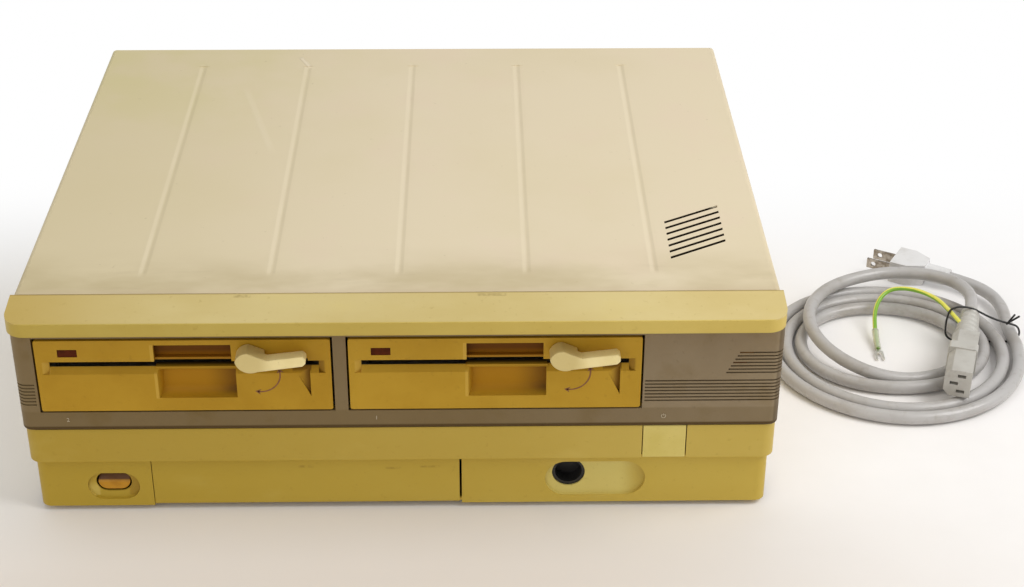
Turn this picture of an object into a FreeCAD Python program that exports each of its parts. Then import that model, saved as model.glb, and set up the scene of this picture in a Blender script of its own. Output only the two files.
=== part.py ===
import FreeCAD, Part
import Sketcher
import math
import os

# A desktop home computer of the mid nineteen-eighties with two half-height floppy drives,
# and its mains cord, coiled beside it. Millimetres. X runs to the right, Y to the back, Z up.
# The origin is on the floor, in the middle of the case.

# Every independent size, in millimetres unless the name says deg, count or share.
SIZES = {
    # Case and general clearances
    "case_w": 380,
    "case_d": 327,
    "case_h": 128,
    "foot_h": 3,
    "sheet": 1.2,
    "shell": 2.5,
    "overrun": 1,
    "seat_gap": 0.2,
    "slip_gap": 0.3,
    "run_gap": 0.05,
    # Plastic front: visor, fascia, upper and lower band
    "seam_set": 24.1,
    "seam_gap": 0.3,
    "nose_h_share_of_case_h": 0.078125,
    "nose_drop": 2.9,
    "visor_r": 10,
    "visor_proud": 1,
    "face_set": 14.3,
    "fascia_proud": 2.6,
    "fascia_set": 0.4,
    "fascia_z_share_of_case_h": 0.415625,
    "fascia_r": 5,
    "fascia_hem_r": 1.6,
    "upper_set": 1.4,
    "upper_proud": 2.2,
    "upper_r": 7,
    "step_z_share_of_case_h": 0.2570313,
    "lower_set": 4.2,
    "lower_in": 0.2,
    "lower_r": 5.5,
    "shelf_t": 1.5,
    "shelf_d_share_of_case_d": 0.0917431,
    # Fine grooves in the fascia
    "groove_w_share_of_case_h": 0.0070313,
    "groove_deep": 0.8,
    "groove_pitch_share_of_case_h": 0.0153906,
    "groove_count": 7,
    "groove_low_z_share_of_case_h": 0.5359375,
    "groove_right_x_share_of_case_w": 0.3247368,
    "groove_left_w_share_of_case_w": 0.0247368,
    "slant_low_z_share_of_case_h": 0.6648438,
    "slant_x_share_of_case_w": 0.4315789,
    "slant_step_share_of_case_w": 0.0027105,
    "lamp_w_share_of_case_w": 0.0184211,
    # Floppy drives
    "drive_pitch_share_of_case_w": 0.4089474,
    "drive_x_share_of_case_w": -0.2828947,
    "drive_z_share_of_case_h": 0.5109375,
    "drive_w_share_of_case_w": 0.3857895,
    "drive_h_share_of_case_h": 0.325,
    "drive_gap": 1.1,
    "drive_r": 1.2,
    "plate_t": 3,
    "pocket_t": 1.2,
    "slot_w_share_of_case_w": 0.3531579,
    "slot_rise_share_of_case_h": 0.1945312,
    "slot_h_share_of_case_h": 0.034375,
    "lip_drop_share_of_case_h": 0.0234375,
    "flare_deep_share": 0.8,
    "flare_w": 3.6,
    "notch_left_share_of_case_w": 0.0378947,
    "notch_w_share_of_case_w": 0.1010526,
    "notch_h_share_of_case_h": 0.0742188,
    "notch_deep": 5,
    "bar_t": 1.2,
    "bar_set": 2.2,
    "finger_rise_share_of_case_h": 0.059375,
    "finger_h_share_of_case_h": 0.1257813,
    "finger_deep": 5.4,
    "finger_in": 1.6,
    "finger_bend_r": 5,
    "finger_slant": 2.5,
    "scoop_x_share_of_case_w": 0.1571053,
    "scoop_w_share_of_case_w": 0.0157895,
    "scoop_rise_share_of_case_h": 0.0625,
    "scoop_h_share_of_case_h": 0.1359375,
    "scoop_slope_share": 0.74,
    "scoop_deep": 2,
    "eye_x_share_of_case_w": 0.1602632,
    "eye_w": 2.1,
    "eye_rise_share_of_case_h": 0.2148438,
    "eye_h_share_of_case_h": 0.03125,
    "led_left_share_of_case_w": 0.1631579,
    "led_w_share_of_case_w": 0.0257895,
    "led_rise_share_of_case_h": 0.2507813,
    "led_h_share_of_case_h": 0.034375,
    # Latch lever on each drive
    "boss_x_share_of_case_w": 0.0889474,
    "boss_rise_share_of_case_h": 0.2734375,
    "boss_r_share_of_case_h": 0.0546875,
    "boss_gap": 0.5,
    "lever_t": 9.8,
    "lever_l": 28,
    "lever_peak_x": -0.6,
    "lever_peak_share_of_case_h": 0.0375,
    "lever_dip_x": 8.8,
    "lever_dip_share_of_case_h": 0.0046875,
    "lever_low_x": 3.9,
    "lever_low_share_of_case_h": 0.046875,
    "lever_low_r_share_of_case_h": 0.0609375,
    "lever_tip_low_share_of_case_h": 0.0226563,
    "lever_tip_top_share_of_case_h": 0.021875,
    "lever_bevel": 1.6,
    "shaft_r_share_of_case_h": 0.0234375,
    "shaft_l_share_of_case_d": 0.3425076,
    "lobe_r_share_of_case_h": 0.015625,
    "lobe_off": 2.5,
    "lobe_l": 6,
    # Drive frame and mechanism
    "frame_w_share_of_case_w": 0.3842105,
    "frame_l_share_of_case_d": 0.5840979,
    "frame_h_share_of_case_h": 0.3046875,
    "wall_t": 3,
    "floor_rise_share_of_case_h": 0.1453125,
    "floor_t_share_of_case_h": 0.0234375,
    "guide_w": 5.6,
    "guide_drop": 0.2,
    "guide_l_share_of_case_d": 0.3914373,
    "spindle_back_share_of_case_d": 0.2207951,
    "hub_r_share_of_case_d": 0.0519878,
    "hub_t": 2.6,
    "hub_gap": 0.4,
    "axle_r": 4,
    "bearing_r_share_of_case_d": 0.0397554,
    "bearing_drop_share_of_case_h": 0.0390625,
    "rotor_r_share_of_case_d": 0.1345566,
    "rotor_t_share_of_case_h": 0.0546875,
    "rotor_gap_share_of_case_h": 0.0257812,
    "window_w_share_of_case_w": 0.1631579,
    "window_l_share_of_case_d": 0.2629969,
    "window_back_share_of_case_d": 0.2721713,
    "carriage_w_share_of_case_w": 0.1368421,
    "carriage_l_share_of_case_d": 0.146789,
    "carriage_back_share_of_case_d": 0.3730887,
    "carriage_h_share_of_case_h": 0.0890625,
    "head_w_share_of_case_w": 0.0473684,
    "head_t_share_of_case_h": 0.0234375,
    "post_l_share_of_case_d": 0.030581,
    "rail_r_share_of_case_h": 0.0195312,
    "rail_x_share_of_case_w": 0.0526316,
    "rail_l_share_of_case_d": 0.2996942,
    "rail_rise_share_of_case_h": 0.1203125,
    "lug_t": 4,
    "screw_x_share_of_case_w": 0.1105263,
    "screw_r_share_of_case_h": 0.0195312,
    "screw_l_share_of_case_d": 0.2110092,
    "screw_rise_share_of_case_h": 0.1140625,
    "nut_l_share_of_case_d": 0.0244648,
    "nut_t_share_of_case_h": 0.0546875,
    "motor_mount_w_share_of_case_w": 0.0578947,
    "stepper_r_share_of_case_h": 0.109375,
    "stepper_l_share_of_case_d": 0.0611621,
    "stepper_back_share_of_case_d": 0.529052,
    "clamp_t_share_of_case_h": 0.009375,
    "clamp_gap_share_of_case_h": 0.009375,
    "clamp_left_share_of_case_w": 0.1184211,
    "clamp_right_share_of_case_w": 0.1105263,
    "clamp_hinge_share_of_case_d": 0.4501529,
    "clamp_l_share_of_case_d": 0.2844037,
    "cone_r_share_of_case_d": 0.0397554,
    "cone_low_share": 0.9,
    "cone_t": 0.8,
    "cap_r_share_of_case_d": 0.0275229,
    "cap_t_share_of_case_h": 0.03125,
    "slit_w_share_of_case_w": 0.0736842,
    "slit_l_share_of_case_d": 0.17737,
    "pin_r_share_of_case_h": 0.0117188,
    "pin_l": 7,
    "ear_t": 5,
    "ear_l_share_of_case_d": 0.0366972,
    "ear_rise_share_of_case_h": 0.03125,
    "circuit_t": 1.6,
    "drive_board_rise_share_of_case_h": 0.009375,
    "drive_board_l_share_of_case_d": 0.4587156,
    "ledge_start_share": 0.125,
    "ledge_end_share": 0.8,
    "screw_front_share": 0.25,
    "screw_rear_share": 0.72,
    "ledge_w": 4,
    "ledge_h_share_of_case_h": 0.01875,
    # Cage that carries both drives
    "cage_side": 2.5,
    "cage_wall_h_share_of_case_h": 0.265625,
    "cage_front": 6.7,
    "cage_wall_set_share_of_case_d": 0.1100917,
    "cage_l_share_of_case_d": 0.5902141,
    # Sheet-metal cover, pan and rear panel
    "cover_low": 6,
    "cover_r": 3,
    "channel_w": 8,
    "channel_deep": 0.4,
    "channel_pitch_share_of_case_w": 0.1694737,
    "channel_front": 20,
    "channel_back": 26,
    "channel_count": 5,
    "vent_x_share_of_case_w": 0.3631579,
    "vent_y_share_of_case_d": -0.3278287,
    "vent_run_share_of_case_w": 0.0789474,
    "vent_rise_share_of_case_d": 0.0550459,
    "vent_w": 2.3,
    "vent_pitch_share_of_case_d": 0.0192049,
    "vent_count": 7,
    "tab_h": 9,
    "tab_in": 8,
    "rear_in": 5.5,
    "flange_h_share_of_case_h": 0.4375,
    "boss_h": 6.8,
    "boss_w": 7,
    "floor_slot_w": 3,
    "floor_slot_l_share_of_case_d": 0.1223242,
    "floor_slot_pitch_share_of_case_w": 0.0236842,
    "floor_slot_count": 8,
    "foot_r": 9,
    "foot_low_share": 0.86,
    "foot_side": 25,
    "foot_front": 58,
    "foot_rear": 24,
    "fastener_r": 1.5,
    "tapped_share": 0.9,
    "fastener_head_r": 3,
    "fastener_head_t": 1.8,
    # Buttons, door and sockets in the front
    "power_x_share_of_case_w": 0.3544737,
    "power_w_share_of_case_w": 0.0578947,
    "power_d": 10,
    "power_travel": 3,
    "power_gap": 0.5,
    "stem_r": 3,
    "power_switch_set": 28,
    "power_switch_l": 24,
    "power_switch_w_share_of_case_w": 0.0447368,
    "power_switch_h_share_of_case_h": 0.1171875,
    "bracket_w_share_of_case_w": 0.0394737,
    "reset_x_share_of_case_w": -0.3963158,
    "reset_z_share_of_case_h": 0.1203125,
    "dish_w_share_of_case_w": 0.0710526,
    "dish_h_share_of_case_h": 0.1296875,
    "dish_deep": 1.6,
    "reset_hole_w_share_of_case_w": 0.0484211,
    "reset_hole_h_share_of_case_h": 0.09375,
    "reset_rise_share_of_case_h": 0.015625,
    "reset_gap": 0.9,
    "reset_set": 1.9,
    "reset_face_h_share_of_case_h": 0.0359375,
    "reset_ramp": 4.6,
    "reset_d": 9.1,
    "reset_travel": 2.5,
    "reset_stem_r": 2,
    "reset_switch_w": 11,
    "reset_switch_t": 7,
    "reset_board_w_share_of_case_w": 0.0736842,
    "reset_board_h_share_of_case_h": 0.1875,
    "flap_left_share_of_case_w": 0.3421053,
    "flap_right_share_of_case_w": 0.0789474,
    "flap_low": 3.3,
    "flap_h_share_of_case_h": 0.21875,
    "flap_t": 2.2,
    "flap_gap": 0.35,
    "flap_slack": 0.8,
    "flap_barrel_r": 1.6,
    "flap_pin_r": 1.2,
    "flap_pin_l": 1.4,
    "tunnel_t": 1.6,
    "tunnel_d_share_of_case_d": 0.0733945,
    "port_x_share_of_case_w": 0.2263158,
    "port_z_share_of_case_h": 0.1640625,
    "port_hole_r": 8.6,
    "port_flat": 6.9,
    "port_bore_r": 7,
    "port_bore_l": 8,
    "port_body_w_share_of_case_w": 0.0552632,
    "port_body_d": 16,
    "port_body_top_share_of_case_h": 0.2359375,
    "key_dish_w_share_of_case_w": 0.1373684,
    "key_dish_h_share_of_case_h": 0.1679688,
    "key_dish_z_share_of_case_h": 0.1402344,
    "key_dish_x_share_of_case_w": 0.2628947,
    "knob_x_share_of_case_w": -0.0315789,
    "knob_z_share_of_case_h": 0.1367188,
    "knob_r": 7,
    "knob_front_share": 0.93,
    "knob_l": 10,
    "knob_shaft_l": 3,
    "pot_w": 17,
    "pot_t": 6,
    "dip_w_share_of_case_w": 0.0578947,
    "dip_h": 10,
    "dip_t": 6,
    "dip_left_share_of_case_w": 0.0368421,
    "dip_pitch_share_of_case_w": 0.0842105,
    "dip_key_w": 1.4,
    "dip_key_h": 4,
    "dip_key_t": 0.8,
    "dip_keys": 8,
    # Main board, cards, sockets and supply
    "board_left_share_of_case_w": 0.4684211,
    "board_right_share_of_case_w": 0.3105263,
    "board_front_share_of_case_d": 0.1590214,
    "board_back_share_of_case_d": 0.0366972,
    "chip_h": 4.4,
    "chip_w_share_of_case_d": 0.0458716,
    "chip_l_share_of_case_w": 0.1315789,
    "chip_small_w": 7.6,
    "chip_small_l_share_of_case_w": 0.0526316,
    "chip_pitch_share_of_case_w": 0.0631579,
    "chip_row_share_of_case_d": 0.0733945,
    "chip_small_pitch": 12,
    "array_w_share_of_case_d": 0.0856269,
    "array_h": 3.2,
    "card_l_share_of_case_w": 0.3157895,
    "card_w_share_of_case_d": 0.0275229,
    "card_h": 14,
    "card_mouth_share": 0.4,
    "card_pitch_share_of_case_d": 0.0795107,
    "socket_rise": 9.36,
    "printer_x_share_of_case_w": -0.3552632,
    "printer_w_share_of_case_w": 0.1631579,
    "serial_x_share_of_case_w": -0.1473684,
    "serial_w_share_of_case_w": 0.1394737,
    "rear_socket_h": 13,
    "rear_socket_l": 22,
    "rear_proud": 4.5,
    "display_x_share_of_case_w": 0.0368421,
    "display_pitch_share_of_case_w": 0.0710526,
    "display_r": 8.2,
    "display_bore_r": 6.8,
    "display_body_w_share_of_case_w": 0.0526316,
    "jack_x_share_of_case_w": 0.1947368,
    "jack_pitch_share_of_case_w": 0.0421053,
    "jack_r": 4.6,
    "jack_bore_r": 2.6,
    "jack_body_w_share_of_case_w": 0.0342105,
    "cover_plate_w_share_of_case_w": 0.3315789,
    "cover_plate_h_share_of_case_h": 0.1328125,
    "cover_plate_z_share_of_case_h": 0.46875,
    "cover_plate_pitch_share_of_case_h": 0.1875,
    "cover_plate_x_share_of_case_w": -0.2842105,
    "slot_cut_in": 5,
    "louvre_w_share_of_case_w": 0.0084211,
    "louvre_h_share_of_case_h": 0.203125,
    "louvre_z_share_of_case_h": 0.71875,
    "louvre_x_share_of_case_w": 0.0157895,
    "louvre_pitch_share_of_case_w": 0.0210526,
    "louvre_count": 14,
    "ribbon_w_share_of_case_w": 0.1157895,
    "ribbon_t": 1.2,
    "ribbon_drop_y_share_of_case_d": 0.2018349,
    "ribbon_plug_l": 14,
    "ribbon_plug_t": 6,
    "psu_left_share_of_case_w": 0.3394737,
    "psu_right_share_of_case_w": 0.4842105,
    "psu_front": 0,
    "psu_h_share_of_case_h": 0.515625,
    "psu_post": 6,
    "coil_core_w_share_of_case_w": 0.0894737,
    "coil_core_h_share_of_case_h": 0.25,
    "capacitor_r_share_of_case_w": 0.0289474,
    "capacitor_space_share": 1.08,
    "capacitor_back_share": 1.8,
    "capacitor_h_share_of_case_h": 0.25,
    "inlet_x_share_of_case_w": 0.4131579,
    "inlet_z_share_of_case_h": 0.265625,
    "inlet_w_share_of_case_w": 0.0710526,
    "inlet_h_share_of_case_h": 0.15625,
    "inlet_flange_w_share_of_case_w": 0.1315789,
    "inlet_flange_h_share_of_case_h": 0.1796875,
    "inlet_flange_t": 2,
    "inlet_deep": 15,
    "inlet_wall": 1.6,
    "prong_w": 2,
    "prong_h": 4,
    "prong_l": 12,
    "prong_x_share_of_case_w": 0.0184211,
    "prong_drop": 3,
    "speaker_x_share_of_case_w": 0.4026316,
    "speaker_y_share_of_case_d": -0.2415902,
    "speaker_r_share_of_case_w": 0.0526316,
    "speaker_rim": 2,
    "speaker_cone_h": 11,
    "speaker_cone_r_share_of_case_w": 0.0315789,
    "magnet_r_share_of_case_w": 0.0368421,
    "magnet_h": 8,
    # Mains cord, coiled on the floor at the right
    "cord_r": 3.8,
    "coil_side": 96,
    "coil_y": 2,
    "coil_reach": 72,
    "cord_lift": 0.2,
    "cord_raised": 1.5,
    "start_reach": 72,
    "start_z": 12.6,
    "landing_z": 12.4,
    # Socket on the cord; its own frame starts where the cord leaves it
    "exit_off": 48,
    "exit_y": 18,
    "exit_z": 18,
    "exit_turn_deg": -18,
    "relief_l": 34,
    "relief_r": 7,
    "relief_tip_r": 5,
    "c13_w": 15,
    "c13_h": 17,
    "c13_l": 24,
    "c13_chamfer": 3.5,
    "grip_l": 22,
    "grip_more": 0.8,
    "c13_slot_w": 4.6,
    "c13_slot_h": 2,
    "c13_slot_deep": 14,
    "c13_slot_pitch": 5,
    "c13_slot_off": 2,
    # Plug on the cord; its own frame starts where the cord enters it
    "plug_off": 50,
    "plug_y": 79,
    "plug_z": 7.5,
    "plug_turn_deg": 60,
    "plug_w": 22,
    "plug_h": 14,
    "plug_l": 21,
    "plug_neck_w": 11,
    "plug_tail_r": 5.4,
    "plug_root_r": 5.94,
    "plug_tail_l": 15,
    "blade_gap": 12.7,
    "blade_w": 6.3,
    "blade_t": 1.5,
    "blade_l": 16,
    "blade_hole_r": 1.6,
    "blade_hole_in": 4.2,
    # Earth lead and the tie round the coil
    "earth_r": 1.3,
    "sleeve_r": 2.1,
    "fork_l": 10,
    "fork_t": 0.8,
    "fork_w": 5,
    "tie_r": 0.6,
    "tie_y": 14,
    "tie_end_l": 10,
}

# Radius of each quarter of the coil, as a share of its reach: left, front, right and back in turn
COIL_SHARES = (0.64, 0.46, 0.61, 0.64, 0.76, 0.583, 0.745, 0.782,
               0.884, 0.897, 0.882, 0.905, 1.005, 1.02, 1.007)

doc = FreeCAD.newDocument("Home_computer")
sheet = doc.addObject("Spreadsheet::Sheet", "Sizes")
for row, (alias, number) in enumerate(SIZES.items(), start=1):
    sheet.set(f"A{row}", alias)
    sheet.set(f"B{row}", str(number))
    sheet.setAlias(f"B{row}", alias)
doc.recompute()


class Size:
    """A length as a number, together with the sheet formula that gives it."""

    def __init__(self, value, text):
        self.value = value
        self.text = text

    def __add__(self, other):
        other = sized(other)
        return Size(self.value + other.value, f"({self.text} + {other.text})")

    def __sub__(self, other):
        other = sized(other)
        return Size(self.value - other.value, f"({self.text} - {other.text})")

    def __mul__(self, factor):
        factor = sized(factor)
        return Size(self.value * factor.value, f"({self.text} * {factor.text})")

    def __truediv__(self, divisor):
        divisor = sized(divisor)
        return Size(self.value / divisor.value, f"({self.text} / {divisor.text})")

    def __neg__(self):
        return Size(-self.value, f"(0 - {self.text})")

    def __radd__(self, other):
        return sized(other) + self

    def __rsub__(self, other):
        return sized(other) - self

    def __rmul__(self, other):
        return sized(other) * self


def sized(value):
    """A plain number becomes a Size, and a Size stays as it is."""
    return value if isinstance(value, Size) else Size(value, str(value))


class Dimensions:
    """Gives each named size of the sheet as an attribute. A size that is kept as a share is that
    share of the case's width, depth or height, so it grows and shrinks with the case."""

    def __getattr__(self, name):
        for outer in ("case_w", "case_d", "case_h"):
            share = f"{name}_share_of_{outer}"
            if share in SIZES:
                return Size(SIZES[outer], "Sizes." + outer) * Size(SIZES[share], "Sizes." + share)
        return Size(SIZES[name], "Sizes." + name)


d = Dimensions()
PARTS = []


def vector(x, y, z=0):
    """A point from three sizes."""
    return FreeCAD.Vector(sized(x).value, sized(y).value, sized(z).value)


def bind(item, prop, size):
    """Set a property from a size and tie it to the sheet."""
    item.setExpression(prop, sized(size).text)


def place(item, x, y, z):
    """Tie an object's position to the sheet."""
    for prop, size in (("x", x), ("y", y), ("z", z)):
        bind(item, "Placement.Base." + prop, size)
    return item


TURNS = {
    "x": FreeCAD.Rotation(FreeCAD.Vector(0, 1, 0), 90),
    "y": FreeCAD.Rotation(FreeCAD.Vector(1, 0, 0), -90),
    "z": FreeCAD.Rotation(),
}


def block(x, y, z):
    """A box between a low and a high plane on each axis."""
    box = doc.addObject("Part::Box", "Block")
    for prop, (low, high) in zip(("Length", "Width", "Height"), (x, y, z)):
        bind(box, prop, sized(high) - low)
    return place(box, x[0], y[0], z[0])


def along(item, axis, span, first, second):
    """Lay an object's own Z along an axis, from the low end of a span."""
    item.Placement = FreeCAD.Placement(FreeCAD.Vector(), TURNS[axis])
    spots = {"x": (span[0], first, second), "y": (first, span[0], second), "z": (first, second, span[0])}
    return place(item, *spots[axis])


def rod(axis, span, first, second, radius):
    """A cylinder along an axis; first and second are its other two coordinates."""
    item = doc.addObject("Part::Cylinder", "Rod")
    bind(item, "Radius", radius)
    bind(item, "Height", sized(span[1]) - span[0])
    return along(item, axis, span, first, second)


def cone(axis, span, first, second, low_radius, high_radius):
    """A round taper along an axis."""
    item = doc.addObject("Part::Cone", "Taper")
    bind(item, "Radius1", low_radius)
    bind(item, "Radius2", high_radius)
    bind(item, "Height", sized(span[1]) - span[0])
    return along(item, axis, span, first, second)


def fuse(*items):
    """Join overlapping or touching shapes into one."""
    if len(items) == 1:
        return items[0]
    joined = doc.addObject("Part::MultiFuse", "Joined")
    joined.Shapes = list(items)
    return joined


def cut(base, *tools):
    """Take shapes away from a base."""
    result = doc.addObject("Part::Cut", "Cut")
    result.Base = base
    result.Tool = fuse(*tools)
    return result


def group(*items):
    """Keep separate solids of one kind together."""
    result = doc.addObject("Part::Compound", "Group")
    result.Links = list(items)
    return result


def stadium(y, x, z):
    """A slot with round ends through a Y span; x is its full width and z its full height."""
    low_x, high_x = x
    low_z, high_z = z
    radius = (sized(high_z) - low_z) / 2
    middle = (sized(high_z) + low_z) / 2
    left = sized(low_x) + radius
    right = sized(high_x) - radius
    ends = [rod("y", y, left, middle, radius), rod("y", y, right, middle, radius)]
    return fuse(block((left, right), y, z), *ends)


def add_loop(sketch, path):
    """Draw one closed outline. A vertex is (x, y), or (x, y, r) where an arc of radius r leads
    to the next vertex: turning left for a positive r and right for a negative one."""
    count = len(path)
    first = sketch.GeometryCount
    ends = []
    for index, vertex in enumerate(path):
        start = vector(vertex[0], vertex[1])
        end = vector(path[(index + 1) % count][0], path[(index + 1) % count][1])
        if len(vertex) == 2:
            sketch.addGeometry(Part.LineSegment(start, end))
            ends.append((1, 2))
            continue
        radius = sized(vertex[2]).value
        chord = end - start
        left = FreeCAD.Vector(-chord.y, chord.x, 0).normalize()
        lift = math.sqrt(max(radius * radius - chord.Length ** 2 / 4, 0))
        centre = (start + end) * 0.5 + left * math.copysign(lift, radius)
        low, high = (start, end) if radius > 0 else (end, start)
        low_angle = math.atan2(low.y - centre.y, low.x - centre.x)
        high_angle = math.atan2(high.y - centre.y, high.x - centre.x)
        if high_angle < low_angle:
            high_angle += 2 * math.pi
        circle = Part.Circle(centre, FreeCAD.Vector(0, 0, 1), abs(radius))
        sketch.addGeometry(Part.ArcOfCircle(circle, low_angle, high_angle))
        ends.append((1, 2) if radius > 0 else (2, 1))
    for index in range(count):
        after = (index + 1) % count
        joint = (first + index, ends[index][1], first + after, ends[after][0])
        sketch.addConstraint(Sketcher.Constraint("Coincident", *joint))
    for index, vertex in enumerate(path):
        for kind, size in (("DistanceX", vertex[0]), ("DistanceY", vertex[1])):
            rule = Sketcher.Constraint(kind, first + index, ends[index][0], sized(size).value)
            number = sketch.addConstraint(rule)
            sketch.setExpression(f"Constraints[{number}]", sized(size).text)
        if len(vertex) == 3:
            radius = sized(vertex[2])
            radius = radius if radius.value > 0 else -radius
            number = sketch.addConstraint(Sketcher.Constraint("Radius", first + index, radius.value))
            sketch.setExpression(f"Constraints[{number}]", radius.text)


def new_sketch(body, plane, offset):
    """A sketch on one of the body's own origin planes, moved along its normal."""
    sketch = body.newObject("Sketcher::SketchObject", "Outline")
    support = [item for item in body.Origin.OriginFeatures if item.Role == plane + "_Plane"][0]
    sketch.AttachmentSupport = [(support, "")]
    sketch.MapMode = "FlatFace"
    bind(sketch, "AttachmentOffset.Base.z", offset)
    return sketch


def extrude(plane, low, high, *paths):
    """A padded body between two positions along the plane's axis. The XZ plane faces the front."""
    body = doc.addObject("PartDesign::Body", "Body")
    offset = -sized(high) if plane == "XZ" else low
    sketch = new_sketch(body, plane, offset)
    for path in paths:
        add_loop(sketch, path)
    pad = body.newObject("PartDesign::Pad", "Pad")
    pad.Profile = sketch
    bind(pad, "Length", sized(high) - low)
    sketch.Visibility = False
    return body


def pocket(body, plane, offset, depth, *paths):
    """Cut outlines into a body from an offset plane, against the plane's normal."""
    sketch = new_sketch(body, plane, offset)
    for path in paths:
        add_loop(sketch, path)
    feature = body.newObject("PartDesign::Pocket", "Pocket")
    feature.Profile = sketch
    bind(feature, "Length", depth)
    sketch.Visibility = False
    return body


def round_edges(body, radius, wanted):
    """Fillet the edges whose middle point and direction are wanted."""
    doc.recompute()
    names = []
    for number, edge in enumerate(body.Shape.Edges, start=1):
        middle = edge.valueAt((edge.FirstParameter + edge.LastParameter) / 2)
        run = edge.Vertexes[-1].Point - edge.Vertexes[0].Point
        if wanted(middle, run):
            names.append(f"Edge{number}")
    fillet = body.newObject("PartDesign::Fillet", "Fillet")
    fillet.Base = (body.Tip if body.Tip != fillet else fillet.BaseFeature, names)
    bind(fillet, "Radius", radius)
    body.Tip = fillet
    doc.recompute()
    return body


def rectangle(x, y):
    """A rectangular outline, anticlockwise."""
    return [(x[0], y[0]), (x[1], y[0]), (x[1], y[1]), (x[0], y[1])]


def rounded(x, y, r):
    """A rectangular outline with round corners, anticlockwise."""
    (left, right), (low, high) = x, y
    left, right, low, high = sized(left), sized(right), sized(low), sized(high)
    return [(left + r, low), (right - r, low, r), (right, low + r), (right, high - r, r),
            (right - r, high), (left + r, high, r), (left, high - r), (left, low + r, r)]


def solid_feature(name, shape):
    """A feature that holds a shape worked out in this file, where no primitive fits."""
    item = doc.addObject("Part::Feature", name)
    item.Shape = shape
    return item


def finish(name, item):
    """Name a sub-part and put it on the list that is written out."""
    item.Label = name
    PARTS.append(item)
    return item


# Planes that several pieces share
FRONT = -d.case_d / 2
BACK = d.case_d / 2
HALF_W = d.case_w / 2
SEAM = FRONT + d.seam_set
FACE = FRONT + d.face_set
FASCIA_Y = FACE + d.fascia_set
UPPER_Y = FACE + d.upper_set
LOWER_Y = FACE + d.lower_set
PAN_TOP = d.foot_h + d.sheet
NOSE_Z = d.case_h - d.nose_h
REAR_Y = BACK - d.rear_in
SHELF_TOP = d.foot_h + d.shelf_t
SHELF_BACK = LOWER_Y + d.shelf_d
COVER_IN = HALF_W - d.sheet
COIL_X = HALF_W + d.coil_side
DRIVES = ((1, d.drive_x + d.drive_pitch), (2, d.drive_x))


def wrap(half, front, radius, wall, z):
    """A wall across the front that turns back round both corners."""
    left = -half
    inner = radius - wall
    path = [(left, SEAM), (left, front + radius, radius), (left + radius, front),
            (half - radius, front, radius), (half, front + radius), (half, SEAM),
            (half - wall, SEAM), (half - wall, front + radius, -inner),
            (half - radius, front + wall), (left + radius, front + wall, -inner),
            (left + wall, front + radius), (left + wall, SEAM)]
    return extrude("XY", z[0], z[1], path)


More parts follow.
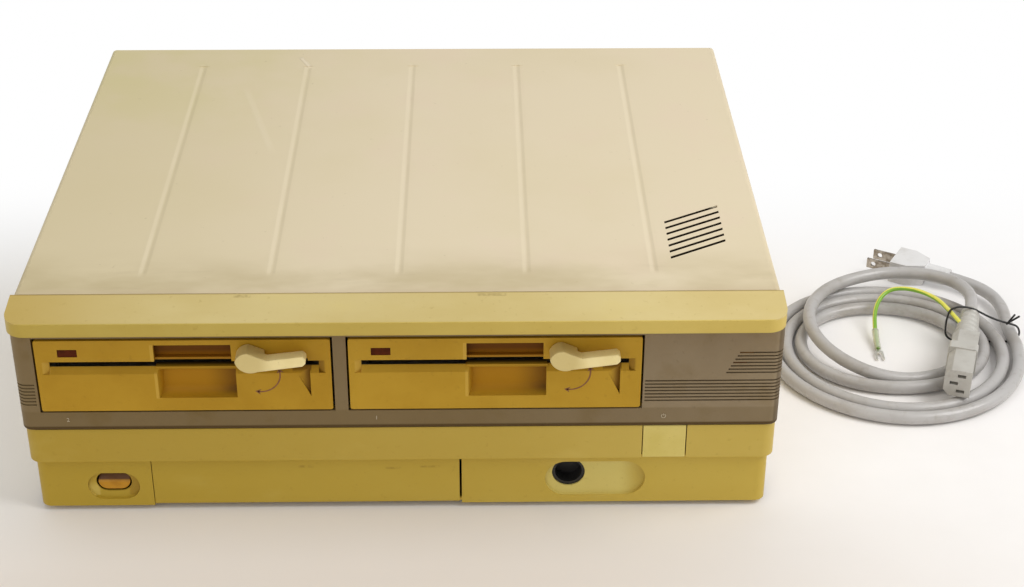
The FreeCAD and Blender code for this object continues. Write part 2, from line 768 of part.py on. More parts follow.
# Front bezel: one plastic moulding with the visor above, a hidden carrier wall behind the
# fascia, and the upper and lower bands below it.
def front_bezel():
    carrier_y = FASCIA_Y + d.shell + d.seat_gap
    carrier_half = HALF_W + d.fascia_proud - d.shell - d.seat_gap
    carrier_in = carrier_y + d.shell
    visor_half = HALF_W + d.visor_proud
    visor = extrude("YZ", -visor_half, visor_half, [
        (SEAM, d.case_h), (FRONT, d.case_h - d.nose_drop), (FRONT, NOSE_Z), (carrier_in, NOSE_Z),
        (carrier_in, NOSE_Z + d.nose_h / 2), (SEAM, d.case_h - d.shell)])
    edge_y = FRONT.value
    visor = round_edges(visor, d.visor_r, lambda p, run: abs(p.y - edge_y) < 0.01 and abs(run.z) > 1)
    carrier = wrap(carrier_half, carrier_y, d.fascia_r - d.seat_gap, d.shell,
                   (d.fascia_z - d.shell, NOSE_Z + d.shell))
    upper_half = HALF_W + d.upper_proud
    lower_half = HALF_W - d.lower_in
    upper = wrap(upper_half, UPPER_Y, d.upper_r, d.shell, (d.step_z, d.fascia_z - d.seat_gap))
    ledge_wall = LOWER_Y - UPPER_Y + d.shell
    ledge = wrap(upper_half, UPPER_Y, d.upper_r, ledge_wall, (d.step_z, d.step_z + d.shell))
    lower_z = (d.foot_h, d.step_z + d.shell / 2)
    lower = wrap(lower_half, LOWER_Y, d.lower_r, d.shell, lower_z)
    shelf = block((d.shell - lower_half, lower_half - d.shell), (LOWER_Y + d.shell / 2, SHELF_BACK),
                  (d.foot_h, SHELF_TOP))
    flap_x = (-d.flap_left - d.flap_gap, d.flap_right + d.flap_gap)
    flap_z = (d.flap_low - d.flap_gap, d.flap_low + d.flap_h + d.flap_gap)
    tunnel_y = (LOWER_Y + d.shell / 2, LOWER_Y + d.tunnel_d)
    tunnel = cut(block((flap_x[0] - d.tunnel_t, flap_x[1] + d.tunnel_t), tunnel_y,
                       (d.foot_h, flap_z[1] + d.tunnel_t)),
                 block(flap_x, (LOWER_Y, LOWER_Y + d.tunnel_d + d.overrun), (SHELF_TOP, flap_z[1])))
    through = (LOWER_Y - d.overrun, LOWER_Y + d.shell + d.overrun)
    tools = [block(flap_x, through, flap_z)]
    for x in (flap_x[0] - d.flap_pin_l - d.run_gap, flap_x[1] - d.overrun):
        span = (x, x + d.flap_pin_l + d.run_gap + d.overrun)
        tools.append(rod("x", span, LOWER_Y + d.flap_barrel_r, d.flap_low + d.flap_barrel_r,
                         d.flap_pin_r + d.run_gap))
    for _, centre in DRIVES:
        half = d.drive_w / 2 + d.drive_gap
        tools.append(block((centre - half, centre + half), (carrier_y - d.overrun, carrier_in + d.overrun),
                           (d.drive_z - d.drive_gap, d.drive_z + d.drive_h + d.drive_gap)))
    power_half = d.power_w / 2 + d.power_gap
    tools.append(block((d.power_x - power_half, d.power_x + power_half),
                       (UPPER_Y - d.overrun, carrier_in + d.power_d), (d.step_z, d.fascia_z)))
    dish_y = (LOWER_Y - d.overrun, LOWER_Y + d.dish_deep)
    tools.append(stadium(dish_y, (d.reset_x - d.dish_w / 2, d.reset_x + d.dish_w / 2),
                         (d.reset_z - d.dish_h / 2, d.reset_z + d.dish_h / 2)))
    hole_z = d.reset_z + d.reset_rise
    tools.append(stadium(through, (d.reset_x - d.reset_hole_w / 2, d.reset_x + d.reset_hole_w / 2),
                         (hole_z - d.reset_hole_h / 2, hole_z + d.reset_hole_h / 2)))
    tools.append(stadium(dish_y, (d.key_dish_x - d.key_dish_w / 2, d.key_dish_x + d.key_dish_w / 2),
                         (d.key_dish_z - d.key_dish_h / 2, d.key_dish_z + d.key_dish_h / 2)))
    port = rod("y", through, d.port_x, d.port_z, d.port_hole_r)
    flat = block((d.port_x - d.port_hole_r, d.port_x + d.port_hole_r),
                 (through[0] - d.overrun, through[1] + d.overrun),
                 (d.port_z + d.port_flat, d.port_z + d.port_hole_r + d.overrun))
    tools.append(cut(port, flat))
    body = cut(fuse(visor, carrier, upper, ledge, lower, shelf, tunnel), *tools)
    finish("front_bezel", body)


# Fascia: the dark panel between visor and bands. It carries the drive fronts and fine grooves.
def fascia_panel():
    half = HALF_W + d.fascia_proud
    z = (d.fascia_z, NOSE_Z - d.seat_gap)
    panel = wrap(half, FASCIA_Y, d.fascia_r, d.shell, z)
    low_z = d.fascia_z.value
    rim_y = (FASCIA_Y + d.shell / 2).value
    panel = round_edges(panel, d.fascia_hem_r,
                        lambda p, run: abs(p.z - low_z) < 0.01 and p.y < rim_y and abs(run.x) > 1)
    inset = d.groove_deep
    core = extrude("XY", z[0], z[1], rounded(
        (inset - half, half - inset), (FASCIA_Y + inset, BACK), d.fascia_r - inset))
    slabs = []
    reach_y = (FASCIA_Y - d.overrun, SEAM + d.overrun)
    for row in range(SIZES["groove_count"]):
        low = d.groove_low_z + row * d.groove_pitch
        slabs.append(block((d.groove_right_x, half + d.overrun), reach_y, (low, low + d.groove_w)))
        slabs.append(block((-half - d.overrun, d.groove_left_w - half), reach_y, (low, low + d.groove_w)))
        low = d.slant_low_z + row * d.groove_pitch
        slabs.append(block((d.slant_x + row * d.slant_step, half + d.overrun), reach_y,
                           (low, low + d.groove_w)))
    grooves = cut(fuse(*slabs), core)
    tools = [grooves]
    through_y = (FASCIA_Y - d.overrun, FASCIA_Y + d.shell + d.overrun)
    for _, centre in DRIVES:
        wide = d.drive_w / 2 + d.drive_gap
        tools.append(block((centre - wide, centre + wide), through_y,
                           (d.drive_z - d.drive_gap, d.drive_z + d.drive_h + d.drive_gap)))
    lamps = []
    for row in (0, 3):
        low = d.slant_low_z + (SIZES["groove_count"] - 1 - row) * d.groove_pitch
        left = d.slant_x + (SIZES["groove_count"] - 1 - row) * d.slant_step
        span = (left, left + d.lamp_w)
        tools.append(block(span, through_y, (low, low + d.groove_w)))
        lamps.append(block(span, (FASCIA_Y + d.seat_gap, FASCIA_Y + d.shell), (low, low + d.groove_w)))
    finish("fascia_panel", cut(panel, *tools))
    finish("mode_lamps", group(*lamps))


# Cover: one bent steel sheet over the top and both sides, with five pressed channels and a slanted vent.
def top_cover():
    half = HALF_W
    bend = d.cover_r
    inner = bend - d.sheet
    low = d.cover_low
    path = [(half, low), (half, d.case_h - bend, bend), (half - bend, d.case_h),
            (bend - half, d.case_h, bend), (-half, d.case_h - bend), (-half, low),
            (d.sheet - half, low), (d.sheet - half, d.case_h - bend, -inner),
            (bend - half, d.case_h - d.sheet), (half - bend, d.case_h - d.sheet, -inner),
            (half - d.sheet, d.case_h - bend), (half - d.sheet, low)]
    cover = extrude("XZ", SEAM + d.seam_gap, BACK, path)
    slots = []
    for row in range(SIZES["vent_count"]):
        y = d.vent_y + row * d.vent_pitch
        right = d.vent_x + d.vent_run
        slots.append([(d.vent_x, y), (right, y + d.vent_rise), (right, y + d.vent_rise + d.vent_w),
                      (d.vent_x, y + d.vent_w)])
    pocket(cover, "XY", d.case_h, d.sheet * 2, *slots)
    bulges = []
    channels = []
    half_w = d.channel_w / 2
    channel_r = (half_w * half_w + d.channel_deep * d.channel_deep) / (2 * d.channel_deep)
    channel_y = (SEAM + d.channel_front, BACK - d.channel_back)
    under = d.case_h - d.sheet
    for index in range(SIZES["channel_count"]):
        x = (index - (SIZES["channel_count"] - 1) / 2) * d.channel_pitch
        channels.append(extrude("XZ", *channel_y, [
            (x - half_w, d.case_h, channel_r), (x + half_w, d.case_h),
            (x + half_w, d.case_h + d.overrun), (x - half_w, d.case_h + d.overrun)]))
        bulges.append(extrude("XZ", *channel_y, [
            (x - half_w, under, channel_r), (x + half_w, under),
            (x + half_w, under + d.sheet / 2), (x - half_w, under + d.sheet / 2)]))
    tab = block((d.tab_in - half, half - d.tab_in), (REAR_Y + d.seat_gap, REAR_Y + d.seat_gap + d.sheet),
                (d.case_h - d.tab_h, d.case_h - d.sheet))
    holes = [rod("y", (REAR_Y, BACK), x, d.case_h - d.tab_h / 2 - d.sheet / 2, d.fastener_r + d.slip_gap)
             for x in rear_screw_places()]
    finish("top_cover", cut(fuse(cover, tab, *bulges), *channels, *holes))


def rear_screw_places():
    """Places across the back where the cover is screwed down."""
    side = HALF_W - 3 * d.tab_in
    return (-side, sized(0), side)


def fastener(axis, head, point, first, second, length):
    """A screw with a round head; head is where the head seats and point is +1 or -1."""
    if point > 0:
        shank = (head, head + length)
        top = (head - d.fastener_head_t, head)
    else:
        shank = (head - length, head)
        top = (head, head + d.fastener_head_t)
    stem = rod(axis, shank, first, second, d.fastener_r)
    return fuse(stem, rod(axis, top, first, second, d.fastener_head_r))


# Pan: the sheet-metal floor with two side flanges, board posts and vent slots.
def base_pan():
    half = COVER_IN - d.seat_gap
    y = (SHELF_BACK + d.seat_gap, REAR_Y)
    path = [(-half, d.foot_h), (half, d.foot_h), (half, d.foot_h + d.flange_h),
            (half - d.sheet, d.foot_h + d.flange_h), (half - d.sheet, PAN_TOP), (d.sheet - half, PAN_TOP),
            (d.sheet - half, d.foot_h + d.flange_h), (-half, d.foot_h + d.flange_h)]
    pan = extrude("XZ", y[0], y[1], path)
    slots = []
    for side in (-1, 1):
        for row in range(SIZES["floor_slot_count"]):
            x = side * (row + 1) * d.floor_slot_pitch
            slots.append(rectangle((x, x + d.floor_slot_w), (0, d.floor_slot_l)))
    pocket(pan, "XY", PAN_TOP + d.overrun, d.sheet + 2 * d.overrun, *slots)
    posts = [rod("z", (PAN_TOP, PAN_TOP + d.boss_h), x, y, d.boss_w / 2) for x, y in board_posts()]
    holes = [rod("z", (PAN_TOP, PAN_TOP + d.boss_h + d.overrun), x, y, d.fastener_r + d.run_gap)
             for x, y in board_posts()]
    finish("base_pan", cut(fuse(pan, *posts), *holes))
    places = [(side * (HALF_W - d.foot_side), y) for side in (-1, 1)
              for y in (FRONT + d.foot_front, BACK - d.foot_rear)]
    feet = [cone("z", (sized(0), d.foot_h), x, y, d.foot_r * d.foot_low_share, d.foot_r) for x, y in places]
    finish("rubber_feet", group(*feet))


def board_edges():
    """Plan of the main board."""
    return (-d.board_left, d.board_right), (FRONT + d.board_front, BACK - d.board_back)


def board_posts():
    """Where the main board is screwed to the pan."""
    (left, right), (front, back) = board_edges()
    inset = d.boss_w
    middle = (left + right) / 2
    return [(x, y) for x in (left + inset, middle, right - inset) for y in (front + inset, back - 3 * inset)]


# Rear panel: a steel plate inside the cover's back edge, cut for sockets, slots and air.
def rear_panel():
    half = COVER_IN - d.seat_gap - d.sheet
    y = (REAR_Y - d.sheet, REAR_Y)
    plate = block((-half, half), y, (PAN_TOP, d.case_h - d.sheet - d.seat_gap))
    through = (y[0] - d.overrun, y[1] + d.overrun)
    tools = []
    for x, width in ((d.printer_x, d.printer_w), (d.serial_x, d.serial_w)):
        wide = width / 2 + d.slip_gap
        tools.append(block((x - wide, x + wide), through, socket_span(d.slip_gap)))
    centre = socket_middle()
    for index in range(2):
        x = d.display_x + index * d.display_pitch
        tools.append(rod("y", through, x, centre, d.display_r + d.slip_gap))
        tools.append(rod("y", through, d.jack_x + index * d.jack_pitch, centre, d.jack_r + d.slip_gap))
        z = d.cover_plate_z + index * d.cover_plate_pitch
        wide = d.cover_plate_w / 2 - d.slot_cut_in
        tools.append(block((d.cover_plate_x - wide, d.cover_plate_x + wide), through,
                           (z + d.fastener_head_r, z + d.cover_plate_h - d.fastener_head_r)))
    for index in range(SIZES["louvre_count"]):
        x = d.louvre_x + index * d.louvre_pitch
        tools.append(block((x, x + d.louvre_w), through, (d.louvre_z, d.louvre_z + d.louvre_h)))
    tools.append(block(inlet_hole()[0], through, inlet_hole()[1]))
    screw_z = d.case_h - d.tab_h / 2 - d.sheet / 2
    for x in rear_screw_places():
        tools.append(rod("y", through, x, screw_z, d.fastener_r + d.run_gap))
    finish("rear_panel", cut(plate, *tools))
    plates = []
    screws = []
    for index in range(2):
        z = d.cover_plate_z + index * d.cover_plate_pitch
        plates.append(block((d.cover_plate_x - d.cover_plate_w / 2, d.cover_plate_x + d.cover_plate_w / 2),
                            (REAR_Y, REAR_Y + d.sheet), (z, z + d.cover_plate_h)))
    finish("slot_covers", group(*plates))
    for x in rear_screw_places():
        screws.append(fastener("y", REAR_Y + d.seat_gap + d.sheet, -1, x, screw_z, 3 * d.sheet + d.seat_gap))
    for x, y in board_posts():
        screws.append(fastener("z", PAN_TOP + d.boss_h + d.circuit_t, -1, x, y, d.boss_h))
    for x, y in drive_screw_places():
        screws.append(drive_fastener(x, y, d.drive_z - d.sheet))
    finish("case_screws", group(*screws))


def inlet_hole():
    """X and Z spans of the hole for the mains inlet."""
    wide = d.inlet_w / 2 + d.slip_gap
    tall = d.inlet_h / 2 + d.slip_gap
    return (d.inlet_x - wide, d.inlet_x + wide), (d.inlet_z - tall, d.inlet_z + tall)


def socket_span(clear=0):
    """Height span of the sockets that stand on the main board."""
    low = PAN_TOP + d.boss_h + d.circuit_t
    return (low - clear, low + d.rear_socket_h + clear)


def socket_middle():
    """Height of the round sockets' centres on the back."""
    return PAN_TOP + d.boss_h + d.circuit_t + d.socket_rise


# Latch lever: a moulded grip with a peaked root and a flat arm, its shaft and cam behind the bezel.
def drive_lever(number, centre):
    x = centre + d.boss_x
    z = d.drive_z + d.boss_rise
    back = FACE - d.boss_gap
    front = back - d.lever_t
    tip_x = x + d.lever_l
    low = z - d.lever_low
    outline = [(x + d.lever_low_x, low), (tip_x - d.lever_bevel, z - d.lever_tip_low),
               (tip_x, z - d.lever_tip_low + d.lever_bevel), (tip_x, z + d.lever_tip_top - d.lever_bevel),
               (tip_x - d.lever_bevel, z + d.lever_tip_top), (x + d.lever_dip_x, z + d.lever_dip),
               (x + d.lever_peak_x, z + d.lever_peak, d.boss_r), (x - d.boss_r, z, d.lever_low_r)]
    grip = extrude("XZ", front, back, outline)
    neck = block((x + d.boss_r, tip_x + d.overrun), (back - d.lever_t / 3, back + d.overrun),
                 (low, z + d.boss_r))
    lever = cut(grip, neck, rod("y", (back - d.lever_t / 2, back + d.overrun), x, z, d.shaft_r))
    finish(f"drive_{number}_lever", lever)
    shaft = rod("y", (back - d.lever_t / 2, back - d.lever_t / 2 + d.shaft_l), x, z, d.shaft_r)
    end = back - d.lever_t / 2 + d.shaft_l
    lobe = rod("y", (end - d.lobe_l, end), x + d.lobe_off, z, d.lobe_r)
    finish(f"drive_{number}_shaft", fuse(shaft, lobe))


# Drive bezel: moulded front with the disk slot, its sloping lip, thumb recess and pointer marks.
def drive_bezel(number, centre):
    x = (centre - d.drive_w / 2, centre + d.drive_w / 2)
    z = (d.drive_z, d.drive_z + d.drive_h)
    plate = extrude("XZ", FACE, FACE + d.plate_t, rounded(x, z, d.drive_r))
    slot_z = (d.drive_z + d.slot_rise, d.drive_z + d.slot_rise + d.slot_h)
    slot_x = (centre - d.slot_w / 2, centre + d.slot_w / 2)
    notch_x = (centre - d.notch_left, centre - d.notch_left + d.notch_w)
    finger_z = (d.drive_z + d.finger_rise, d.drive_z + d.finger_rise + d.finger_h)
    notch_z = (slot_z[1], slot_z[1] + d.notch_h)
    finger_x = (notch_x[0] + d.finger_in / 2, notch_x[1] + d.finger_in)
    wall = d.pocket_t
    cups = []
    for span_x, span_z, depth in ((notch_x, notch_z, d.notch_deep), (finger_x, finger_z, d.finger_deep)):
        cups.append(block((span_x[0] - wall, span_x[1] + wall), (FACE + d.plate_t / 2, FACE + depth + wall),
                          (span_z[0] - (0 if span_z is notch_z else wall),
                           span_z[1] + (wall if span_z is notch_z else 0))))
    front = (FACE - d.overrun, FACE + d.plate_t + d.overrun)
    deep = (FACE - d.overrun, FACE + d.finger_deep + d.overrun + wall)
    lip = extrude("YZ", slot_x[0], slot_x[1], [
        (FACE - d.overrun, slot_z[0] - d.lip_drop), (FACE, slot_z[0] - d.lip_drop),
        (FACE + d.plate_t, slot_z[0]), (FACE + d.plate_t + d.overrun, slot_z[0]),
        (FACE + d.plate_t + d.overrun, slot_z[0] + d.lip_drop / 2),
        (FACE - d.overrun, slot_z[0] + d.lip_drop / 2)])
    tools = [lip, block(slot_x, deep, slot_z)]
    for side, edge in ((-1, slot_x[0]), (1, slot_x[1])):
        tools.append(extrude("XY", slot_z[0] - d.lip_drop, slot_z[1], sorted_path(side, [
            (edge, FACE - d.overrun), (edge + side * d.flare_w, FACE - d.overrun),
            (edge + side * d.flare_w, FACE), (edge, FACE + d.plate_t * d.flare_deep_share)])))
    tools.append(block(notch_x, (FACE - d.overrun, FACE + d.notch_deep), notch_z))
    recess = extrude("YZ", finger_x[0], finger_x[1], [
        (FACE - d.overrun, finger_z[0]),
        (FACE + d.finger_deep - d.finger_bend_r, finger_z[0], d.finger_bend_r),
        (FACE + d.finger_deep, finger_z[0] + d.finger_bend_r), (FACE + d.finger_deep, finger_z[1]),
        (FACE - d.overrun, finger_z[1])])
    slant = extrude("XY", finger_z[0] - d.overrun, finger_z[1] + d.overrun, [
        (finger_x[0] - d.overrun, FACE), (finger_x[0], FACE),
        (finger_x[0] + d.finger_slant, FACE + d.finger_deep + d.overrun),
        (finger_x[0] - d.overrun, FACE + d.finger_deep + d.overrun)])
    tools.append(cut(recess, slant))
    left = centre + d.scoop_x - d.scoop_w / 2
    scoop_z = d.drive_z + d.scoop_rise
    scoop = extrude("XZ", FACE - d.overrun, FACE + d.scoop_deep, [
        (left + d.scoop_w, scoop_z), (left + d.scoop_w, scoop_z + d.scoop_h),
        (left, scoop_z + d.scoop_h * d.scoop_slope_share)])
    shallow = extrude("XY", scoop_z - d.overrun, scoop_z + d.scoop_h + d.overrun, [
        (left - d.overrun, FACE), (left, FACE), (left + d.scoop_w, FACE + d.scoop_deep),
        (left + d.scoop_w, FACE + d.scoop_deep + d.overrun),
        (left - d.overrun, FACE + d.scoop_deep + d.overrun)])
    tools.append(cut(scoop, shallow))
    eye_z = d.drive_z + d.eye_rise
    tools.append(block((centre + d.eye_x - d.eye_w / 2, centre + d.eye_x + d.eye_w / 2),
                       (FACE - d.overrun, FACE + d.scoop_deep), (eye_z, eye_z + d.eye_h)))
    led_x = (centre - d.led_left, centre - d.led_left + d.led_w)
    led_z = (d.drive_z + d.led_rise, d.drive_z + d.led_rise + d.led_h)
    tools.append(block(led_x, front, led_z))
    tools.append(rod("y", front, centre + d.boss_x, d.drive_z + d.boss_rise, d.shaft_r + d.run_gap))
    bars = [block((notch_x[0] - wall / 2, notch_x[1] + wall / 2),
                  (FACE + d.bar_set, FACE + d.notch_deep + wall), (notch_z[0], notch_z[0] + d.bar_t)),
            block((finger_x[0] - wall / 2, finger_x[1] + wall / 2),
                  (FACE + d.bar_set, FACE + d.finger_deep + wall), (finger_z[1], slot_z[0]))]
    finish(f"drive_{number}_bezel", fuse(cut(fuse(plate, *cups), *tools), *bars))
    finish(f"drive_{number}_lamp", block(led_x, (FACE + d.seat_gap, FACE + d.plate_t), led_z))


def sorted_path(side, path):
    """Turn a mirrored outline round so that it stays anticlockwise."""
    return path if side > 0 else path[::-1]


# Drive frame: a cast channel with a floor, disk guides, a spindle bearing and lugs for the rails.
def drive_frame(number, centre):
    start = FACE + d.plate_t
    end = start + d.frame_l
    half = d.frame_w / 2
    inner = half - d.wall_t
    low = d.drive_z
    floor_z = (low + d.floor_rise, low + d.floor_rise + d.floor_t)
    slot_low = low + d.slot_rise
    spindle_y = FACE + d.spindle_back
    pieces = []
    for side in (-1, 1):
        outer_x = centre + side * half
        inner_x = centre + side * inner
        guide_x = centre + side * (inner - d.guide_w)
        ledge_x = centre + side * (inner - d.ledge_w)
        pieces.append(block(ordered(outer_x, inner_x), (start, end), (low, low + d.frame_h)))
        pieces.append(block(ordered(inner_x, guide_x), (start, start + d.guide_l),
                            (floor_z[0], slot_low - d.guide_drop)))
        board_top = low + d.drive_board_rise + d.circuit_t
        ledge_y = (start + d.frame_l * d.ledge_start_share, start + d.frame_l * d.ledge_end_share)
        pieces.append(block(ordered(inner_x, ledge_x), ledge_y, (board_top, board_top + d.ledge_h)))
    floor_start = FACE + d.finger_deep + 2 * d.pocket_t
    pieces.append(block((centre - inner, centre + inner), (floor_start, end), floor_z))
    pieces.append(rod("z", (floor_z[0] - d.bearing_drop, floor_z[0]), centre, spindle_y, d.bearing_r))
    rail_y = rail_span()
    rail_z = low + d.rail_rise
    for y in (rail_y[0] - d.lug_t / 2, rail_y[1] - d.lug_t / 2):
        for side in (-1, 1):
            x = centre + side * d.rail_x
            pieces.append(block((x - d.lug_t, x + d.lug_t), (y, y + d.lug_t),
                                (rail_z - d.lug_t, floor_z[0])))
    screw_y = screw_span()
    screw_x = centre + d.screw_x
    screw_z = low + d.screw_rise
    pieces.append(block((screw_x - d.lug_t, screw_x + d.lug_t), (screw_y[0], screw_y[0] + d.lug_t),
                        (screw_z - d.lug_t, floor_z[0])))
    ear_y = FACE + d.clamp_hinge
    ear_top = clamp_level()[1] + d.ear_rise
    for x in clamp_ears(centre):
        pieces.append(block(x, (ear_y - d.ear_l / 2, ear_y + d.ear_l / 2), (floor_z[0], ear_top)))
    window_y = FACE + d.window_back
    stepper_y = (FACE + d.stepper_back, FACE + d.stepper_back + d.stepper_l)
    clear = d.stepper_r + d.slip_gap
    tools = [
        block((centre - d.window_w / 2, centre + d.window_w / 2), (window_y, window_y + d.window_l),
              (floor_z[0] - d.overrun, floor_z[1] + d.overrun)),
        rod("z", (floor_z[0] - d.bearing_drop - d.overrun, floor_z[1] + d.overrun), centre, spindle_y,
            d.axle_r + d.run_gap),
        rod("x", (clamp_ears(centre)[0][0] - d.overrun, clamp_ears(centre)[1][1] + d.overrun), ear_y,
            clamp_middle(), d.pin_r + d.run_gap),
        rod("y", (screw_y[0] - d.overrun, screw_y[1]), screw_x, screw_z, d.screw_r + d.run_gap),
        block((screw_x - clear, screw_x + clear), stepper_y,
              (floor_z[0] - d.overrun, floor_z[1] + d.overrun)),
    ]
    for side in (-1, 1):
        tools.append(rod("y", rail_y, centre + side * d.rail_x, rail_z, d.rail_r))
        for y in drive_screw_rows():
            x = centre + side * (half - d.wall_t / 2)
            tools.append(rod("z", (low - d.overrun, low + 3 * d.fastener_r), x, y,
                             d.fastener_r * d.tapped_share))
    mount = block((screw_x - d.motor_mount_w / 2, screw_x + d.motor_mount_w / 2),
                  (stepper_y[0] - d.lug_t - d.slip_gap, stepper_y[0] - d.slip_gap),
                  (screw_z - d.stepper_r / 2, floor_z[0]))
    finish(f"drive_{number}_frame", cut(fuse(*pieces, mount), *tools))
    rails = [rod("y", rail_y, centre + side * d.rail_x, rail_z, d.rail_r) for side in (-1, 1)]
    finish(f"drive_{number}_rails", group(*rails))


def ordered(first, second):
    """Two places as a low and high pair."""
    return (first, second) if first.value < second.value else (second, first)


def drive_screw_places():
    """Plan of all the screws that hold the drives down."""
    return [(centre + side * (d.frame_w / 2 - d.wall_t / 2), y)
            for _, centre in DRIVES for side in (-1, 1) for y in drive_screw_rows()]


def drive_screw_rows():
    """Rows of the screws that hold a drive down."""
    start = FACE + d.plate_t
    return (start + d.frame_l * d.screw_front_share, start + d.frame_l * d.screw_rear_share)


def rail_span():
    """Where the carriage rails start and end."""
    start = FACE + d.window_back
    return (start - d.lug_t / 2, start - d.lug_t / 2 + d.rail_l)


def screw_span():
    """Where the lead screw starts and ends, up to the stepper."""
    end = FACE + d.stepper_back
    return (end - d.screw_l, end)


def clamp_level():
    """Height span of the clamp arm's plate, above the disk path."""
    low = d.drive_z + d.slot_rise + d.slot_h + d.clamp_gap
    return (low, low + d.clamp_t)


def clamp_middle():
    """Height of the clamp arm's hinge pins."""
    return clamp_level()[0] + d.clamp_t / 2


def clamp_ears(centre):
    """X spans of the two ears that hold the clamp arm's pins."""
    left = centre - d.clamp_left - d.slip_gap
    right = centre + d.clamp_right + d.slip_gap
    return ((left - d.ear_t, left), (right, right + d.ear_t))


# Mechanism of one drive: spindle and rotor, clamp arm, head carriage, stepper, screw and board.
def drive_mechanism(number, centre):
    low = d.drive_z
    floor_z = (low + d.floor_rise, low + d.floor_rise + d.floor_t)
    spindle_y = FACE + d.spindle_back
    hub_top = floor_z[1] + d.hub_gap + d.hub_t
    rotor_top = floor_z[0] - d.bearing_drop - d.rotor_gap
    hub = rod("z", (hub_top - d.hub_t, hub_top), centre, spindle_y, d.hub_r)
    axle = rod("z", (rotor_top, hub_top), centre, spindle_y, d.axle_r)
    rotor = rod("z", (rotor_top - d.rotor_t, rotor_top), centre, spindle_y, d.rotor_r)
    finish(f"drive_{number}_spindle", fuse(hub, axle, rotor))

    level = clamp_level()
    hinge_y = FACE + d.clamp_hinge
    plate_x = (centre - d.clamp_left, centre + d.clamp_right)
    plate = block(plate_x, (hinge_y - d.clamp_l, hinge_y + d.pin_r), level)
    slit = block((centre - d.slit_w / 2, centre + d.slit_w / 2), (hinge_y - d.slit_l, hinge_y + 3 * d.pin_r),
                 (level[0] - d.overrun, level[1] + d.overrun))
    press = cone("z", (level[0] - d.cone_t, level[0]), centre, spindle_y,
                 d.cone_r * d.cone_low_share, d.cone_r)
    cap = rod("z", (level[0], level[1] + d.cap_t), centre, spindle_y, d.cap_r)
    pins = []
    middle = clamp_middle()
    for edge, side in ((plate_x[0], -1), (plate_x[1], 1)):
        span = ordered(edge - side * d.pin_l, edge + side * d.pin_l)
        pins.append(rod("x", span, hinge_y, middle, d.pin_r))
    finish(f"drive_{number}_clamp_arm", fuse(cut(plate, slit), press, cap, *pins))

    back = FACE + d.carriage_back
    half = d.carriage_w / 2
    top = low + d.slot_rise - d.guide_drop
    span_y = (back, back + d.carriage_l)
    sled = block((centre - half, centre + half), span_y, (top - d.carriage_h, top))
    side_cut = [block(ordered(centre + side * half, centre + side * (half - d.screw_r)), span_y,
                      (floor_z[0] - d.slip_gap, top + d.overrun)) for side in (-1, 1)]
    post_y = (span_y[1] - d.post_l, span_y[1])
    arm_z = level[0], level[0] + d.head_t
    post = block((centre - d.head_w / 2, centre + d.head_w / 2), post_y, (top - d.overrun, arm_z[1]))
    arm = block((centre - d.head_w / 2, centre + d.head_w / 2), (back + d.slip_gap, span_y[1]), arm_z)
    nut = block((centre + half - d.overrun, centre + d.screw_x + d.nut_t / 2),
                (span_y[0] + d.nut_l, span_y[0] + 2 * d.nut_l),
                (low + d.screw_rise - d.nut_t / 2, floor_z[0] - d.slip_gap))
    bores = [rod("y", (span_y[0] - d.overrun, span_y[1] + d.overrun), centre + side * d.rail_x,
                 low + d.rail_rise, d.rail_r + d.run_gap) for side in (-1, 1)]
    bores.append(rod("y", (span_y[0] - d.overrun, span_y[1] + d.overrun), centre + d.screw_x,
                     low + d.screw_rise, d.screw_r + d.run_gap))
    finish(f"drive_{number}_carriage", cut(fuse(cut(sled, *side_cut), post, arm, nut), *bores))

    screw_x = centre + d.screw_x
    screw_z = low + d.screw_rise
    stepper_y = (FACE + d.stepper_back, FACE + d.stepper_back + d.stepper_l)
    motor = rod("y", stepper_y, screw_x, screw_z, d.stepper_r)
    seat = rod("y", (stepper_y[0] - d.overrun, stepper_y[0] + d.lug_t), screw_x, screw_z,
               d.screw_r + d.run_gap)
    finish(f"drive_{number}_stepper", cut(motor, seat))
    screw_y = (screw_span()[0], screw_span()[1] + d.lug_t - d.slip_gap)
    finish(f"drive_{number}_screw", rod("y", screw_y, screw_x, screw_z, d.screw_r))

    board_z = (low + d.drive_board_rise, low + d.drive_board_rise + d.circuit_t)
    start = FACE + d.plate_t + d.shelf_d / 2
    inner = d.frame_w / 2 - d.wall_t - d.slip_gap
    board = block((centre - inner, centre + inner), (start, start + d.drive_board_l), board_z)
    finish(f"drive_{number}_board", board)


# Cage: a folded tray that carries both drives above the main board.
def drive_cage():
    left = d.drive_x - d.frame_w / 2 - d.cage_side
    right = d.drive_x + d.drive_pitch + d.frame_w / 2 + d.cage_side
    start = FACE + d.cage_front
    tray_z = (d.drive_z - d.sheet, d.drive_z)
    tray = block((left, right), (start, start + d.cage_l), tray_z)
    walls = []
    wall_y = (start + d.cage_wall_set, start + d.cage_l)
    for x in ((left - d.sheet, left), (right, right + d.sheet)):
        walls.append(block(x, wall_y, (PAN_TOP, d.drive_z + d.cage_wall_h)))
    holes = [rod("z", (tray_z[0] - d.overrun, tray_z[1] + d.overrun), x, y, d.fastener_r + d.run_gap)
             for x, y in drive_screw_places()]
    finish("drive_cage", cut(fuse(tray, *walls), *holes))


def drive_fastener(x, y, seat):
    """A short screw driven up through the tray into the drive frame."""
    shank = rod("z", (seat, seat + d.sheet + 2 * d.fastener_r), x, y,
                d.fastener_r * d.tapped_share - d.run_gap)
    head = rod("z", (seat - d.fastener_head_t, seat), x, y, d.fastener_head_r)
    return fuse(shank, head)


